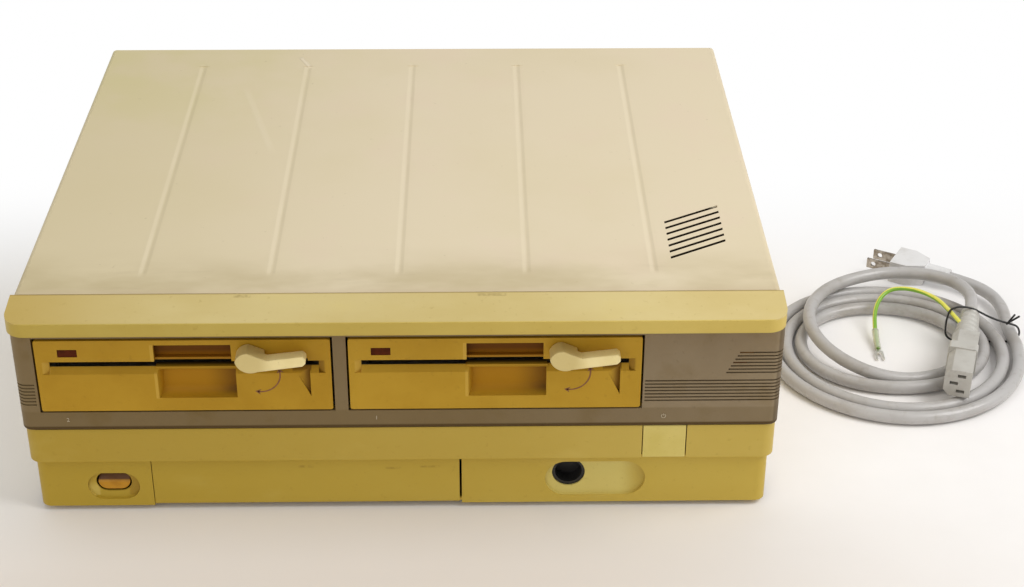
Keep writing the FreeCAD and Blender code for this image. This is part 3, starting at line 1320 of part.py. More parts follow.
# Power button and its switch, reset button and its switch.
def buttons():
    z = (d.step_z + d.slip_gap, d.fascia_z - d.slip_gap)
    middle = (z[0] + z[1]) / 2
    cap = block((d.power_x - d.power_w / 2, d.power_x + d.power_w / 2), (UPPER_Y, UPPER_Y + d.power_d), z)
    switch_y = (UPPER_Y + d.power_switch_set, UPPER_Y + d.power_switch_set + d.power_switch_l)
    reach = d.power_travel
    stem = rod("y", (UPPER_Y + d.power_d, switch_y[0] + reach), d.power_x, middle, d.stem_r)
    finish("power_button", fuse(cap, stem))
    body = block((d.power_x - d.power_switch_w / 2, d.power_x + d.power_switch_w / 2), switch_y,
                 (middle - d.power_switch_h / 2, middle + d.power_switch_h / 2))
    bracket = block((d.power_x - d.bracket_w / 2, d.power_x + d.bracket_w / 2),
                    (switch_y[1] - 2 * d.sheet, switch_y[1]), (PAN_TOP, middle))
    foot = block((d.power_x - d.bracket_w / 2, d.power_x + d.bracket_w / 2),
                 (switch_y[1] - 2 * d.sheet, switch_y[1] + d.bracket_w), (PAN_TOP, PAN_TOP + d.sheet))
    bore = rod("y", (switch_y[0] - d.overrun, switch_y[0] + 3 * reach), d.power_x, middle,
               d.stem_r + d.slip_gap)
    finish("power_switch", cut(fuse(body, bracket, foot), bore))

    centre = d.reset_z + d.reset_rise
    wide = d.reset_hole_w / 2 - d.reset_gap
    tall = d.reset_hole_h / 2 - d.reset_gap
    button_y = (LOWER_Y + d.reset_set, LOWER_Y + d.reset_set + d.reset_d)
    key = stadium(button_y, (d.reset_x - wide, d.reset_x + wide), (centre - tall, centre + tall))
    ramp = extrude("YZ", d.reset_x - wide - d.overrun, d.reset_x + wide + d.overrun, [
        (button_y[0] - d.overrun, centre - tall + d.reset_face_h),
        (button_y[0], centre - tall + d.reset_face_h),
        (button_y[0] + d.reset_ramp, centre + tall), (button_y[0] + d.reset_ramp, centre + tall + d.overrun),
        (button_y[0] - d.overrun, centre + tall + d.overrun)])
    board_y = LOWER_Y + d.tunnel_d
    switch_y = (board_y - d.reset_switch_t, board_y)
    stem = rod("y", (button_y[1], switch_y[0] + d.slip_gap + d.reset_travel / 2), d.reset_x, centre,
               d.reset_stem_r)
    finish("reset_button", fuse(cut(key, ramp), stem))
    half = d.reset_switch_w / 2
    body = block((d.reset_x - half, d.reset_x + half), switch_y, (centre - half, centre + half))
    board = block((d.reset_x - d.reset_board_w / 2, d.reset_x + d.reset_board_w / 2),
                  (board_y, board_y + d.circuit_t), (SHELF_TOP, SHELF_TOP + d.reset_board_h))
    bore = rod("y", (switch_y[0] - d.overrun, switch_y[0] + 2 * d.reset_travel), d.reset_x, centre,
               d.reset_stem_r + d.slip_gap)
    finish("reset_switch", cut(fuse(body, board), bore))


# Flap door over the small controls, and the controls behind it.
def controls():
    x = (-d.flap_left, d.flap_right - d.flap_slack)
    axis_y = LOWER_Y + d.flap_barrel_r
    axis_z = d.flap_low + d.flap_barrel_r
    panel = block(x, (LOWER_Y, LOWER_Y + d.flap_t), (axis_z, d.flap_low + d.flap_h))
    barrel = rod("x", x, axis_y, axis_z, d.flap_barrel_r)
    pins = rod("x", (x[0] - d.flap_pin_l, d.flap_right + d.flap_pin_l), axis_y, axis_z, d.flap_pin_r)
    finish("flap_door", fuse(panel, barrel, pins))

    board_y = LOWER_Y + d.tunnel_d
    left = x[0] - d.flap_gap - d.tunnel_t
    right = d.flap_right + d.flap_gap + d.tunnel_t
    top = d.flap_low + d.flap_h + d.flap_gap + d.tunnel_t
    board = block((left, right), (board_y, board_y + d.circuit_t), (SHELF_TOP, top))
    finish("control_board", board)

    pot_y = (board_y - d.pot_t, board_y)
    half = d.pot_w / 2
    pot = block((d.knob_x - half, d.knob_x + half), pot_y, (d.knob_z - half, d.knob_z + half))
    seat = rod("y", (pot_y[0] - d.overrun, pot_y[0] + d.knob_shaft_l), d.knob_x, d.knob_z,
               d.stem_r + d.run_gap)
    pieces = [cut(pot, seat)]
    dip_z = (d.knob_z - d.dip_h / 2, d.knob_z + d.dip_h / 2)
    for index in range(2):
        low_x = x[0] + d.dip_left + index * d.dip_pitch
        housing = block((low_x, low_x + d.dip_w), (board_y - d.dip_t, board_y), dip_z)
        keys = []
        for key in range(SIZES["dip_keys"]):
            key_x = low_x + (key + 0.5) * d.dip_w / SIZES["dip_keys"] - d.dip_key_w / 2
            lift = d.knob_z - d.dip_key_h / 2 + (key + index) % 2 * d.dip_key_w
            keys.append(block((key_x, key_x + d.dip_key_w),
                              (board_y - d.dip_t - d.dip_key_t, board_y - d.dip_t / 2),
                              (lift, lift + d.dip_key_h)))
        pieces.append(fuse(housing, *keys))
    finish("setting_switches", group(*pieces))

    knob_y = (pot_y[0] - d.slip_gap - d.knob_l, pot_y[0] - d.slip_gap)
    grip = cone("y", knob_y, d.knob_x, d.knob_z, d.knob_r * d.knob_front_share, d.knob_r)
    spindle = rod("y", (knob_y[1], pot_y[0] + d.knob_shaft_l - d.slip_gap), d.knob_x, d.knob_z, d.stem_r)
    groove = block((d.knob_x - d.tunnel_t / 2, d.knob_x + d.tunnel_t / 2),
                   (knob_y[0] - d.overrun, knob_y[0] + d.tunnel_t), (d.knob_z, d.knob_z + d.knob_r))
    finish("volume_knob", fuse(cut(grip, groove), spindle))

    body_y = (LOWER_Y + d.shell + d.seat_gap, LOWER_Y + d.shell + d.seat_gap + d.port_body_d)
    body = block((d.port_x - d.port_body_w / 2, d.port_x + d.port_body_w / 2), body_y,
                 (SHELF_TOP, d.port_body_top))
    bore = rod("y", (body_y[0] - d.overrun, body_y[0] + d.port_bore_l), d.port_x, d.port_z, d.port_bore_r)
    finish("keyboard_socket", cut(body, bore))


# Main board with its chips, card slots and the sockets along the back edge.
def electronics():
    (left, right), (front, back) = board_edges()
    board_z = (PAN_TOP + d.boss_h, PAN_TOP + d.boss_h + d.circuit_t)
    board = block((left, right), (front, back), board_z)
    holes = [rod("z", (board_z[0] - d.overrun, board_z[1] + d.overrun), x, y, d.fastener_r + d.slip_gap)
             for x, y in board_posts()]
    finish("main_board", cut(board, *holes))
    top = board_z[1]
    chips = []
    for column in range(4):
        x = left + d.chip_l / 2 + column * (d.chip_l + d.chip_w / 2)
        for row in range(2):
            y = front + d.chip_row + row * d.chip_row
            chips.append(block((x, x + d.chip_l), (y, y + d.chip_w), (top, top + d.chip_h)))
    for column in range(8):
        x = left + d.chip_l / 2 + column * d.chip_pitch
        for row in range(2):
            y = front + 4 * d.chip_row + row * d.chip_small_pitch
            chips.append(block((x, x + d.chip_small_l), (y, y + d.chip_small_w), (top, top + d.chip_h)))
    for column in range(3):
        x = right - d.array_w - (column + 1) * (d.array_w + d.chip_small_w)
        y = front + 6 * d.chip_row
        chips.append(block((x, x + d.array_w), (y, y + d.array_w), (top, top + d.array_h)))
    finish("board_chips", group(*chips))

    slots = []
    for row in range(2):
        y = back - 2 * d.rear_socket_l - row * d.card_pitch
        start = left + d.boss_w * 2
        slots.append(cut(block((start, start + d.card_l), (y, y + d.card_w), (top, top + d.card_h)),
                         block((start + d.card_w / 2, start + d.card_l - d.card_w / 2),
                               (y + d.card_w * d.card_mouth_share, y + d.card_w * (1 - d.card_mouth_share)),
                               (top + d.card_h / 3, top + d.card_h + d.overrun))))
    finish("card_slots", group(*slots))

    proud = REAR_Y + d.rear_proud
    inside = proud - d.rear_socket_l
    span = socket_span()
    for name, x, width in (("printer_socket", d.printer_x, d.printer_w),
                           ("serial_socket", d.serial_x, d.serial_w)):
        half = width / 2
        body = block((x - half, x + half), (inside, proud), span)
        rim = d.sheet
        ring = cut(block((x - half + rim, x + half - rim), (proud - 2 * rim, proud + d.overrun),
                         (span[0] + rim, span[1] - rim)),
                   block((x - half + 3 * rim, x + half - 3 * rim), (proud - 3 * rim, proud + 2 * d.overrun),
                         (span[0] + 3 * rim, span[1] - 3 * rim)))
        finish(name, cut(body, ring))
    centre = socket_middle()
    displays = []
    jacks = []
    for index in range(2):
        x = d.display_x + index * d.display_pitch
        half = d.display_body_w / 2
        body = block((x - half, x + half), (inside, REAR_Y - 2 * d.sheet), (span[0], centre + half))
        shell = rod("y", (REAR_Y - 3 * d.sheet, REAR_Y + d.sheet), x, centre, d.display_r)
        bore = rod("y", (REAR_Y - d.port_bore_l, REAR_Y + 2 * d.sheet), x, centre, d.display_bore_r)
        displays.append(cut(fuse(body, shell), bore))
        x = d.jack_x + index * d.jack_pitch
        half = d.jack_body_w / 2
        body = block((x - half, x + half), (inside, REAR_Y - 2 * d.sheet), (span[0], centre + half))
        shell = rod("y", (REAR_Y - 3 * d.sheet, REAR_Y + d.rear_proud), x, centre, d.jack_r)
        bore = rod("y", (REAR_Y - d.port_bore_l, REAR_Y + 2 * d.rear_proud), x, centre, d.jack_bore_r)
        jacks.append(cut(fuse(body, shell), bore))
    finish("display_sockets", group(*displays))
    finish("audio_jacks", group(*jacks))

    ribbons = []
    start = FACE + d.plate_t + d.shelf_d / 2 + d.drive_board_l
    board_top = d.drive_z + d.drive_board_rise + d.circuit_t
    drop = d.ribbon_drop_y
    for _, centre_x in DRIVES:
        x = (centre_x - d.ribbon_w / 2, centre_x + d.ribbon_w / 2)
        flat = board_top + d.ribbon_t
        band = extrude("YZ", x[0], x[1], [
            (start - d.ribbon_plug_l, board_top), (drop, board_top), (drop, top + d.ribbon_plug_l),
            (drop + d.ribbon_t, top + d.ribbon_plug_l), (drop + d.ribbon_t, flat),
            (start - d.ribbon_plug_l, flat)])
        plug = block(x, (drop - d.ribbon_plug_t / 2, drop + d.ribbon_plug_t / 2),
                     (top, top + d.ribbon_plug_l))
        ribbons.append(fuse(band, plug))
    finish("ribbon_cables", group(*ribbons))


# Power supply in its perforated case, with the mains inlet on the back.
def power_supply():
    x = (d.psu_left, d.psu_right)
    y = (d.psu_front, REAR_Y - d.sheet)
    z = (PAN_TOP, PAN_TOP + d.psu_h)
    shell = cut(block(x, y, z), block((x[0] + d.sheet, x[1] - d.sheet), (y[0] + d.sheet, y[1] - d.sheet),
                                      (z[0] + d.sheet, z[1] - d.sheet)))
    hole = block(inlet_hole()[0], (y[1] - 2 * d.sheet, y[1] + d.overrun), inlet_hole()[1])
    vents = []
    for row in range(SIZES["floor_slot_count"]):
        start = y[0] + d.psu_h / 2 + row * d.floor_slot_pitch
        vents.append(block((x[0] - d.overrun, x[0] + 2 * d.sheet), (start, start + d.floor_slot_w),
                           (z[0] + d.psu_h / 2, z[1] - d.psu_h / 6)))
    corners = [(px, py) for px in (x[0] + 2 * d.psu_post, x[1] - 2 * d.psu_post)
               for py in (y[0] + 2 * d.psu_post, y[1] - 6 * d.psu_post)]
    posts = [rod("z", (z[0] + d.sheet / 2, z[0] + d.sheet + d.psu_post), px, py, d.psu_post / 2)
             for px, py in corners]
    finish("psu_case", fuse(cut(shell, hole, *vents), *posts))

    board_low = z[0] + d.sheet + d.psu_post
    board_top = board_low + d.circuit_t
    inner_x = (x[0] + 3 * d.sheet, x[1] - 3 * d.sheet)
    board_y = (y[0] + 3 * d.sheet, y[1] - 5 * d.psu_post)
    board = block(inner_x, board_y, (board_low, board_top))
    core_y = board_y[0] + d.coil_core_w / 2
    middle = (x[0] + x[1]) / 2
    transformer = block((middle - d.coil_core_w / 2, middle + d.coil_core_w / 2),
                        (core_y, core_y + d.coil_core_w), (board_top, board_top + d.coil_core_h))
    capacitors = [rod("z", (board_top, board_top + d.capacitor_h),
                      middle + side * d.capacitor_r * d.capacitor_space_share,
                      core_y + d.coil_core_w * d.capacitor_back_share, d.capacitor_r) for side in (-1, 1)]
    finish("psu_board", group(board, transformer, *capacitors))

    flange = block((d.inlet_x - d.inlet_flange_w / 2, d.inlet_x + d.inlet_flange_w / 2),
                   (REAR_Y, REAR_Y + d.inlet_flange_t),
                   (d.inlet_z - d.inlet_flange_h / 2, d.inlet_z + d.inlet_flange_h / 2))
    mouth = REAR_Y + d.inlet_flange_t
    body = block((d.inlet_x - d.inlet_w / 2, d.inlet_x + d.inlet_w / 2),
                 (mouth - d.inlet_deep - d.inlet_wall, mouth),
                 (d.inlet_z - d.inlet_h / 2, d.inlet_z + d.inlet_h / 2))
    wall = d.inlet_wall
    cavity = block((d.inlet_x - d.inlet_w / 2 + wall, d.inlet_x + d.inlet_w / 2 - wall),
                   (mouth - d.inlet_deep, mouth + d.overrun),
                   (d.inlet_z - d.inlet_h / 2 + wall, d.inlet_z + d.inlet_h / 2 - wall))
    prongs = []
    for px, pz in ((-d.prong_x, sized(0)), (sized(0), -d.prong_drop), (d.prong_x, sized(0))):
        prongs.append(block((d.inlet_x + px - d.prong_w / 2, d.inlet_x + px + d.prong_w / 2),
                            (mouth - d.inlet_deep - wall / 2, mouth - d.inlet_deep + d.prong_l),
                            (d.inlet_z + pz - d.prong_h / 2, d.inlet_z + pz + d.prong_h / 2)))
    finish("ac_inlet", fuse(cut(fuse(flange, body), cavity), *prongs))


# Speaker under the slanted vent, hung from the cover.
def speaker():
    top = d.case_h - d.sheet
    rim = rod("z", (top - d.speaker_rim, top), d.speaker_x, d.speaker_y, d.speaker_r)
    low = top - d.speaker_rim - d.speaker_cone_h
    bowl = cone("z", (low, top - d.speaker_rim), d.speaker_x, d.speaker_y, d.speaker_cone_r, d.speaker_r)
    hollow = cone("z", (low + d.sheet, top), d.speaker_x, d.speaker_y, d.speaker_cone_r - d.sheet,
                  d.speaker_r - d.sheet)
    magnet = rod("z", (low - d.magnet_h, low), d.speaker_x, d.speaker_y, d.magnet_r)
    finish("speaker", cut(fuse(rim, bowl, magnet), hollow))


# Free cord: tubes along arcs that meet smoothly, and the pieces on the cord.
def arc_edge(start, heading, end):
    """The arc that leaves start along heading and reaches end, or a line where they agree."""
    chord = end - start
    across = heading - chord * (heading.dot(chord) / chord.dot(chord))
    if across.Length < 0.001:
        return Part.LineSegment(start, end).toShape()
    half = math.asin(min(1, across.Length)) / 2
    middle = (start + end) * 0.5 + across.normalize() * (chord.Length / 2 * math.tan(half))
    return Part.Arc(start, middle, end).toShape()


def biarc(start, heading, end, final):
    """Two arcs from one place and heading to the next."""
    gap = end - start
    both = heading + final
    spread = 2 * (1 - heading.dot(final))
    if spread < 0.000001:
        reach = gap.dot(gap) / (2 * gap.dot(both))
    else:
        reach = (math.sqrt(gap.dot(both) ** 2 + spread * gap.dot(gap)) - gap.dot(both)) / spread
    joint = (start + heading * reach + end - final * reach) * 0.5
    middle = (joint - start - heading * reach).normalize()
    return [arc_edge(start, heading, joint), arc_edge(joint, middle, end)]


def tube(edges, radius):
    """A round tube along a smooth path of edges."""
    spine = Part.Wire(edges)
    start = edges[0].valueAt(edges[0].FirstParameter)
    ring = Part.Wire(Part.Circle(start, edges[0].tangentAt(edges[0].FirstParameter), radius).toShape())
    pipe = Part.BRepOffsetAPI.MakePipeShell(spine)
    pipe.add(ring)
    pipe.build()
    pipe.makeSolid()
    return pipe.shape()


def rounded_route(points, closed=False):
    """Straight runs joined by tangent arcs, each as large as its two runs allow."""
    count = len(points)
    corners = range(count) if closed else range(1, count - 1)
    arcs = {}
    for index in corners:
        corner = points[index]
        back = points[index - 1] - corner
        ahead = points[(index + 1) % count] - corner
        trim = 0.45 * min(back.Length, ahead.Length)
        first = corner + back.normalize() * trim
        last = corner + ahead.normalize() * trim
        arcs[index] = (first, -(back.normalize()), last)
    edges = []
    previous = arcs[count - 1][2] if closed else points[0]
    for index in corners:
        first, heading, last = arcs[index]
        edges.append(Part.LineSegment(previous, first).toShape())
        edges.append(arc_edge(first, heading, last))
        previous = last
    if not closed:
        edges.append(Part.LineSegment(previous, points[-1]).toShape())
    return edges


def heading_of(degrees):
    """Level unit vector of a piece that is turned from facing the back."""
    turn = math.radians(degrees.value)
    return FreeCAD.Vector(-math.sin(turn), math.cos(turn), 0)


def coil_stations():
    """Places and headings of the cord at each quarter turn, wound outward from the socket."""
    rest = (d.cord_r + d.cord_lift).value
    raised = rest + d.cord_raised.value
    radii = [d.start_reach.value] + [share * d.coil_reach.value for share in COIL_SHARES]
    heights = [d.start_z.value, d.landing_z.value] + [rest] * (len(radii) - 2)
    for index in range(3, len(radii), 4):
        heights[index] = raised
    centre = vector(COIL_X, d.coil_y)
    stations = []
    for index, radius in enumerate(radii):
        angle = math.pi / 2 * (index + 1)
        outward = FreeCAD.Vector(math.cos(angle), math.sin(angle), 0)
        onward = FreeCAD.Vector(-math.sin(angle), math.cos(angle), 0)
        low = max(index - 1, 0)
        high = min(index + 1, len(radii) - 1)
        span = math.pi / 2 * (high - low)
        drift = (radii[high] - radii[low]) / span
        climb = (heights[high] - heights[low]) / span
        if heights[index] <= rest or index > 3:
            climb = 0
        heading = (onward * radius + outward * drift + FreeCAD.Vector(0, 0, climb)).normalize()
        stations.append((centre + outward * radius + FreeCAD.Vector(0, 0, heights[index]), heading))
    return stations


def least_gap(edges, radius):
    """Smallest clear distance between stretches of the coil that lie apart along it."""
    points = []
    for edge in edges:
        steps = max(2, int(edge.Length / 2.5))
        for step in range(steps):
            points.append(edge.valueAt(edge.getParameterByLength(edge.Length * step / steps)))
    apart = 12
    least = min((points[low] - points[high]).Length
                for low in range(len(points)) for high in range(low + apart, len(points)))
    return least - 2 * radius


def mains_cord():
    tail = 2 * d.cord_r.value
    leaving = heading_of(d.exit_turn_deg)
    entering = heading_of(d.plug_turn_deg)
    start = vector(COIL_X + d.exit_off, d.exit_y, d.exit_z)
    end = vector(COIL_X + d.plug_off, d.plug_y, d.plug_z)
    stations = [(start + leaving * tail, leaving)] + coil_stations() + [(end - entering * tail, entering)]
    edges = [Part.LineSegment(start, stations[0][0]).toShape()]
    for (place_a, heading_a), (place_b, heading_b) in zip(stations, stations[1:]):
        edges.extend(biarc(place_a, heading_a, place_b, heading_b))
    edges.append(Part.LineSegment(stations[-1][0], end).toShape())
    radius = d.cord_r.value
    finish("mains_cord", solid_feature("Coil", tube(edges, radius)))
    length = sum(edge.Length for edge in edges)
    print("cord radii", [round(edge.Curve.Radius) for edge in edges if hasattr(edge.Curve, "Radius")])
    print("cord length", round(length, 1), "volume", round(PARTS[-1].Shape.Volume),
          "section times length", round(math.pi * radius ** 2 * length))
    print("least gap of the coil to itself", round(least_gap(edges, radius), 2))


def turned(item, x, y, z, degrees):
    """Stand a piece that was made about its own origin in its place on the floor."""
    turn = FreeCAD.Rotation(FreeCAD.Vector(0, 0, 1), degrees.value)
    item.Placement = FreeCAD.Placement(FreeCAD.Vector(), turn)
    return place(item, x, y, z)


def cord_socket():
    face = -(d.relief_l + d.grip_l + d.c13_l)
    half_w = d.c13_w / 2
    half_h = d.c13_h / 2
    cut_off = d.c13_chamfer
    nose = extrude("XZ", face, face + d.c13_l + d.grip_l, [
        (cut_off - half_w, -half_h), (half_w, -half_h), (half_w, half_h), (cut_off - half_w, half_h),
        (-half_w, half_h - cut_off), (-half_w, cut_off - half_h)])
    more = d.grip_more
    grip = extrude("XZ", face + d.c13_l, face + d.c13_l + d.grip_l / 3, rounded(
        (-half_w - more, half_w + more), (-half_h, half_h + more), d.c13_chamfer / 2))
    relief = cone("y", (face + d.c13_l + d.grip_l / 2, sized(0)), sized(0), sized(0),
                  d.relief_r, d.relief_tip_r)
    slots = []
    for row, off in ((-1, d.c13_slot_off), (0, -d.c13_slot_off), (1, d.c13_slot_off)):
        middle = row * d.c13_slot_pitch
        slots.append(block((off - d.c13_slot_w / 2, off + d.c13_slot_w / 2),
                           (face - d.overrun, face + d.c13_slot_deep),
                           (middle - d.c13_slot_h / 2, middle + d.c13_slot_h / 2)))
    body = cut(fuse(nose, grip, relief), *slots)
    finish("cord_socket", turned(body, COIL_X + d.exit_off, d.exit_y, d.exit_z, d.exit_turn_deg))


def mains_plug():
    start = d.plug_tail_l
    end = start + d.plug_l
    half = d.plug_w / 2
    neck = d.plug_neck_w / 2
    body = extrude("XY", -d.plug_h / 2, d.plug_h / 2, [
        (-neck, start), (neck, start), (half, start + d.plug_l / 2), (half, end), (-half, end),
        (-half, start + d.plug_l / 2)])
    tail = cone("y", (sized(0), start + d.overrun), sized(0), sized(0), d.plug_tail_r, d.plug_root_r)
    blades = []
    for side in (-1, 1):
        x = side * d.blade_gap / 2
        blade = block((x - d.blade_t / 2, x + d.blade_t / 2), (end - d.overrun, end + d.blade_l),
                      (-d.blade_w / 2, d.blade_w / 2))
        hole = rod("x", (x - d.blade_t, x + d.blade_t), end + d.blade_l - d.blade_hole_in, sized(0),
                   d.blade_hole_r)
        blades.append(cut(blade, hole))
    plug = fuse(body, tail, *blades)
    finish("mains_plug", turned(plug, COIL_X + d.plug_off, d.plug_y, d.plug_z, d.plug_turn_deg))


# Route of the earth lead, from the coil's middle line: out of the socket, over the coil and down inside it
EARTH_ROUTE = ((40.5, -3, 20), (35.8, 14, 20.8), (30.5, 33, 20.5), (18, 46, 19.5), (4, 48.5, 17.5),
               (-5, 38, 12), (-8, 20, 6), (-8.5, 4, 3.2))


def earth_lead():
    points = [vector(COIL_X + x, y, z) for x, y, z in EARTH_ROUTE]
    edges = rounded_route(points)
    lead = tube(edges, d.earth_r.value)
    foot = points[-1]
    heading = (points[-1] - points[-2]).normalize()
    sleeve = Part.makeCylinder(d.sleeve_r.value, (foot - points[-2]).Length * 0.8,
                               foot - heading * (foot - points[-2]).Length * 0.8, heading)
    fork = Part.makeBox(d.fork_w.value, d.fork_l.value, d.fork_t.value)
    corner = foot - vector(d.fork_w / 2, d.fork_l, d.fork_t / 2)
    fork.translate(corner)
    finish("earth_lead", solid_feature("Earth", lead.fuse([sleeve, fork])))
    print("earth lead length", round(sum(edge.Length for edge in edges), 1))


# Loop of the tie, from the coil's middle line and seen from the front, and where its ends are twisted
TIE_LOOP = ((40.5, 0.7), (33.6, 4.5), (32.8, 14), (34, 23), (39, 25.4), (47, 24.6), (61, 16.5),
            (76.4, 11.6), (78.6, 6), (75.9, 0.7))
TIE_KNOT = (70, 13.6)


def cord_tie():
    points = [vector(COIL_X + x, d.tie_y, z) for x, z in TIE_LOOP]
    loop = tube(rounded_route(points, closed=True), d.tie_r.value)
    knot = vector(COIL_X + TIE_KNOT[0], d.tie_y, TIE_KNOT[1])
    ends = []
    for lean in (0.25, 0.7):
        heading = FreeCAD.Vector(lean, -0.35, 0.8).normalize()
        ends.append(Part.makeCylinder(d.tie_r.value, d.tie_end_l.value, knot - heading, heading))
    finish("cord_tie", solid_feature("Tie", loop.fuse(ends)))


front_bezel()
fascia_panel()
top_cover()
base_pan()
rear_panel()
for drive_number, drive_centre in DRIVES:
    drive_bezel(drive_number, drive_centre)
    drive_lever(drive_number, drive_centre)
    drive_frame(drive_number, drive_centre)
    drive_mechanism(drive_number, drive_centre)
drive_cage()
buttons()
controls()
electronics()
power_supply()
speaker()
mains_cord()
cord_socket()
mains_plug()
earth_lead()
cord_tie()

# Check the whole document, then write each sub-part out under its own name.
doc.recompute()
faults = [item.Name for item in doc.Objects if "Invalid" in item.State or "Error" in item.State]
for item in PARTS:
    if item.Shape.isNull() or not item.Shape.isValid():
        faults.append(item.Label)
if faults:
    raise RuntimeError("faulty objects: " + ", ".join(faults))
os.makedirs("parts", exist_ok=True)
for item in PARTS:
    item.Shape.exportStep(os.path.join("parts", item.Label + ".step"))
print(len(PARTS), "sub-parts written")
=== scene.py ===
"""Looks of a desktop home computer with two floppy drives and its loose mains cord."""
import math

import bmesh
import bpy
import numpy as np
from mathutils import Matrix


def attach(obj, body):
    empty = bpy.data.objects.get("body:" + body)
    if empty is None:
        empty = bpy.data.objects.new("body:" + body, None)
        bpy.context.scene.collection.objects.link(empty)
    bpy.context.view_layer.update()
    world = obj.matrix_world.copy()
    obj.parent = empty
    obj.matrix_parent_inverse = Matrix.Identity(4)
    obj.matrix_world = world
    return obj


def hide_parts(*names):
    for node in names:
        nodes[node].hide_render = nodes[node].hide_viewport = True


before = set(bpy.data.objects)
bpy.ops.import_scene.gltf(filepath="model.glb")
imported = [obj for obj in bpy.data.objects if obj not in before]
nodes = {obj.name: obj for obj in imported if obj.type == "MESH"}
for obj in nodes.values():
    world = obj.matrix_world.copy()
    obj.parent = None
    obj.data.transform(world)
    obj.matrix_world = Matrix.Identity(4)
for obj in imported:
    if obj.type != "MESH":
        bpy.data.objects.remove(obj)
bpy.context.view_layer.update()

# Camera.
# The machine stands on a pale table, seen from the front and looked down on by 31 degrees.
camera_data = bpy.data.cameras.new("camera")
camera_data.sensor_width = 36
camera_data.lens = 66.49
camera = bpy.data.objects.new("camera", camera_data)
camera.location = (0.0392, -0.9453, 0.603)
camera.rotation_euler = [math.radians(angle) for angle in (59.436, -0.218, -1.082)]
bpy.context.scene.collection.objects.link(camera)
bpy.context.scene.camera = camera
bpy.context.scene.view_settings.view_transform = "Standard"


# Finishes.
# Masks are added and multiplied like numbers, and each step becomes a shader node.
def linear(red, green, blue):
    """A screen colour, 0 to 255, as light: to the power 2.4, near black in proportion."""
    share = np.array([red, green, blue]) / 255
    light = np.where(share < 0.04045, share / 12.92, ((share + 0.055) / 1.055) ** 2.4)
    return (*light.tolist(), 1.0)


class Value:
    """A number that changes over a surface. Sums, differences and products of it add Math nodes."""

    def __init__(self, finish, socket):
        self.finish = finish
        self.socket = socket

    def __add__(self, other):
        return self.finish.sum_up("ADD", self, other)

    def __sub__(self, other):
        return self.finish.sum_up("SUBTRACT", self, other)

    def __rsub__(self, other):
        return self.finish.sum_up("SUBTRACT", other, self)

    def __mul__(self, other):
        return self.finish.sum_up("MULTIPLY", self, other)

    def over(self, other):
        """The larger of the two, for masks that overlap."""
        return self.finish.sum_up("MAXIMUM", self, other)

    __radd__ = __add__
    __rmul__ = __mul__


class Finish:
    """One finish of the machine: a material that is written as masks, colours and a relief."""

    def __init__(self, name):
        self.material = bpy.data.materials.new(name)
        self.material.use_nodes = True
        tree = self.material.node_tree
        self.nodes = tree.nodes
        self.links = tree.links
        self.surface = tree.nodes["Principled BSDF"]
        self.place = self.node("ShaderNodeTexCoord", output="Object")

    def node(self, kind, settings=(), sockets=(), output=0):
        """Adds a node: its settings first, then the values or links of its sockets."""
        made = self.nodes.new(kind)
        for key, setting in dict(settings).items():
            setattr(made, key, setting)
        for key, value in dict(sockets).items():
            if isinstance(value, Value):
                self.links.new(value.socket, made.inputs[key])
            else:
                made.inputs[key].default_value = value
        return Value(self, made.outputs[output])

    def sum_up(self, operation, first, second):
        """The result of a Math node."""
        return self.node("ShaderNodeMath", {"operation": operation}, {0: first, 1: second})

    def coordinate(self, axis):
        """The place along X, Y or Z in metres."""
        return self.node("ShaderNodeSeparateXYZ", (), {0: self.place}, axis)

    def clouds(self, size, detail=3, stretch=(1, 1, 1), shift=(0, 0, 0)):
        """Soft patches of that size in metres, from 0 to 1, longer along an axis with a small stretch."""
        place = self.place
        if stretch != (1, 1, 1) or shift != (0, 0, 0):
            sockets = {"Vector": place, "Location": shift, "Scale": stretch}
            place = self.node("ShaderNodeMapping", (), sockets)
        sockets = {"Vector": place, "Scale": 1 / size, "Detail": detail, "Roughness": 0.55}
        return self.node("ShaderNodeTexNoise", (), sockets)

    def step(self, value, low, high):
        """A mask that rises smoothly from 0 at low to 1 at high, or falls where low is the larger."""
        sockets = {"Value": value, "From Min": low, "From Max": high}
        return self.node("ShaderNodeMapRange", {"interpolation_type": "SMOOTHSTEP"}, sockets)

    def band(self, value, low, high, soft):
        """1 between low and high, with soft ends."""
        return self.step(value, low - soft, low) * self.step(value, high + soft, high)

    def tint(self, mask, under, above):
        """The colour under, covered by the colour above where the mask is 1."""
        settings = {"data_type": "RGBA", "clamp_factor": True}
        return self.node("ShaderNodeMix", settings, {0: mask, 6: under, 7: above}, 2)

    def finish(self, colour, roughness, relief=None, height=0.0, metallic=0.0, coat=0.0, gloss=0.5):
        """Joins colour, roughness and relief to the surface; height is the relief's depth in metres."""
        self.surface.inputs["Specular IOR Level"].default_value = gloss
        for key, value in (("Base Color", colour), ("Roughness", roughness),
                           ("Metallic", metallic), ("Coat Weight", coat)):
            if isinstance(value, Value):
                self.links.new(value.socket, self.surface.inputs[key])
            else:
                self.surface.inputs[key].default_value = value
        if relief is not None:
            sockets = {"Height": relief, "Distance": height, "Strength": 1.0}
            bump = self.node("ShaderNodeBump", (), sockets)
            self.links.new(bump.socket, self.surface.inputs["Normal"])
        return self.material


def dress(material, *names):
    """Gives a material to CAD nodes."""
    for name in names:
        nodes[name].data.materials.clear()
        nodes[name].data.materials.append(material)


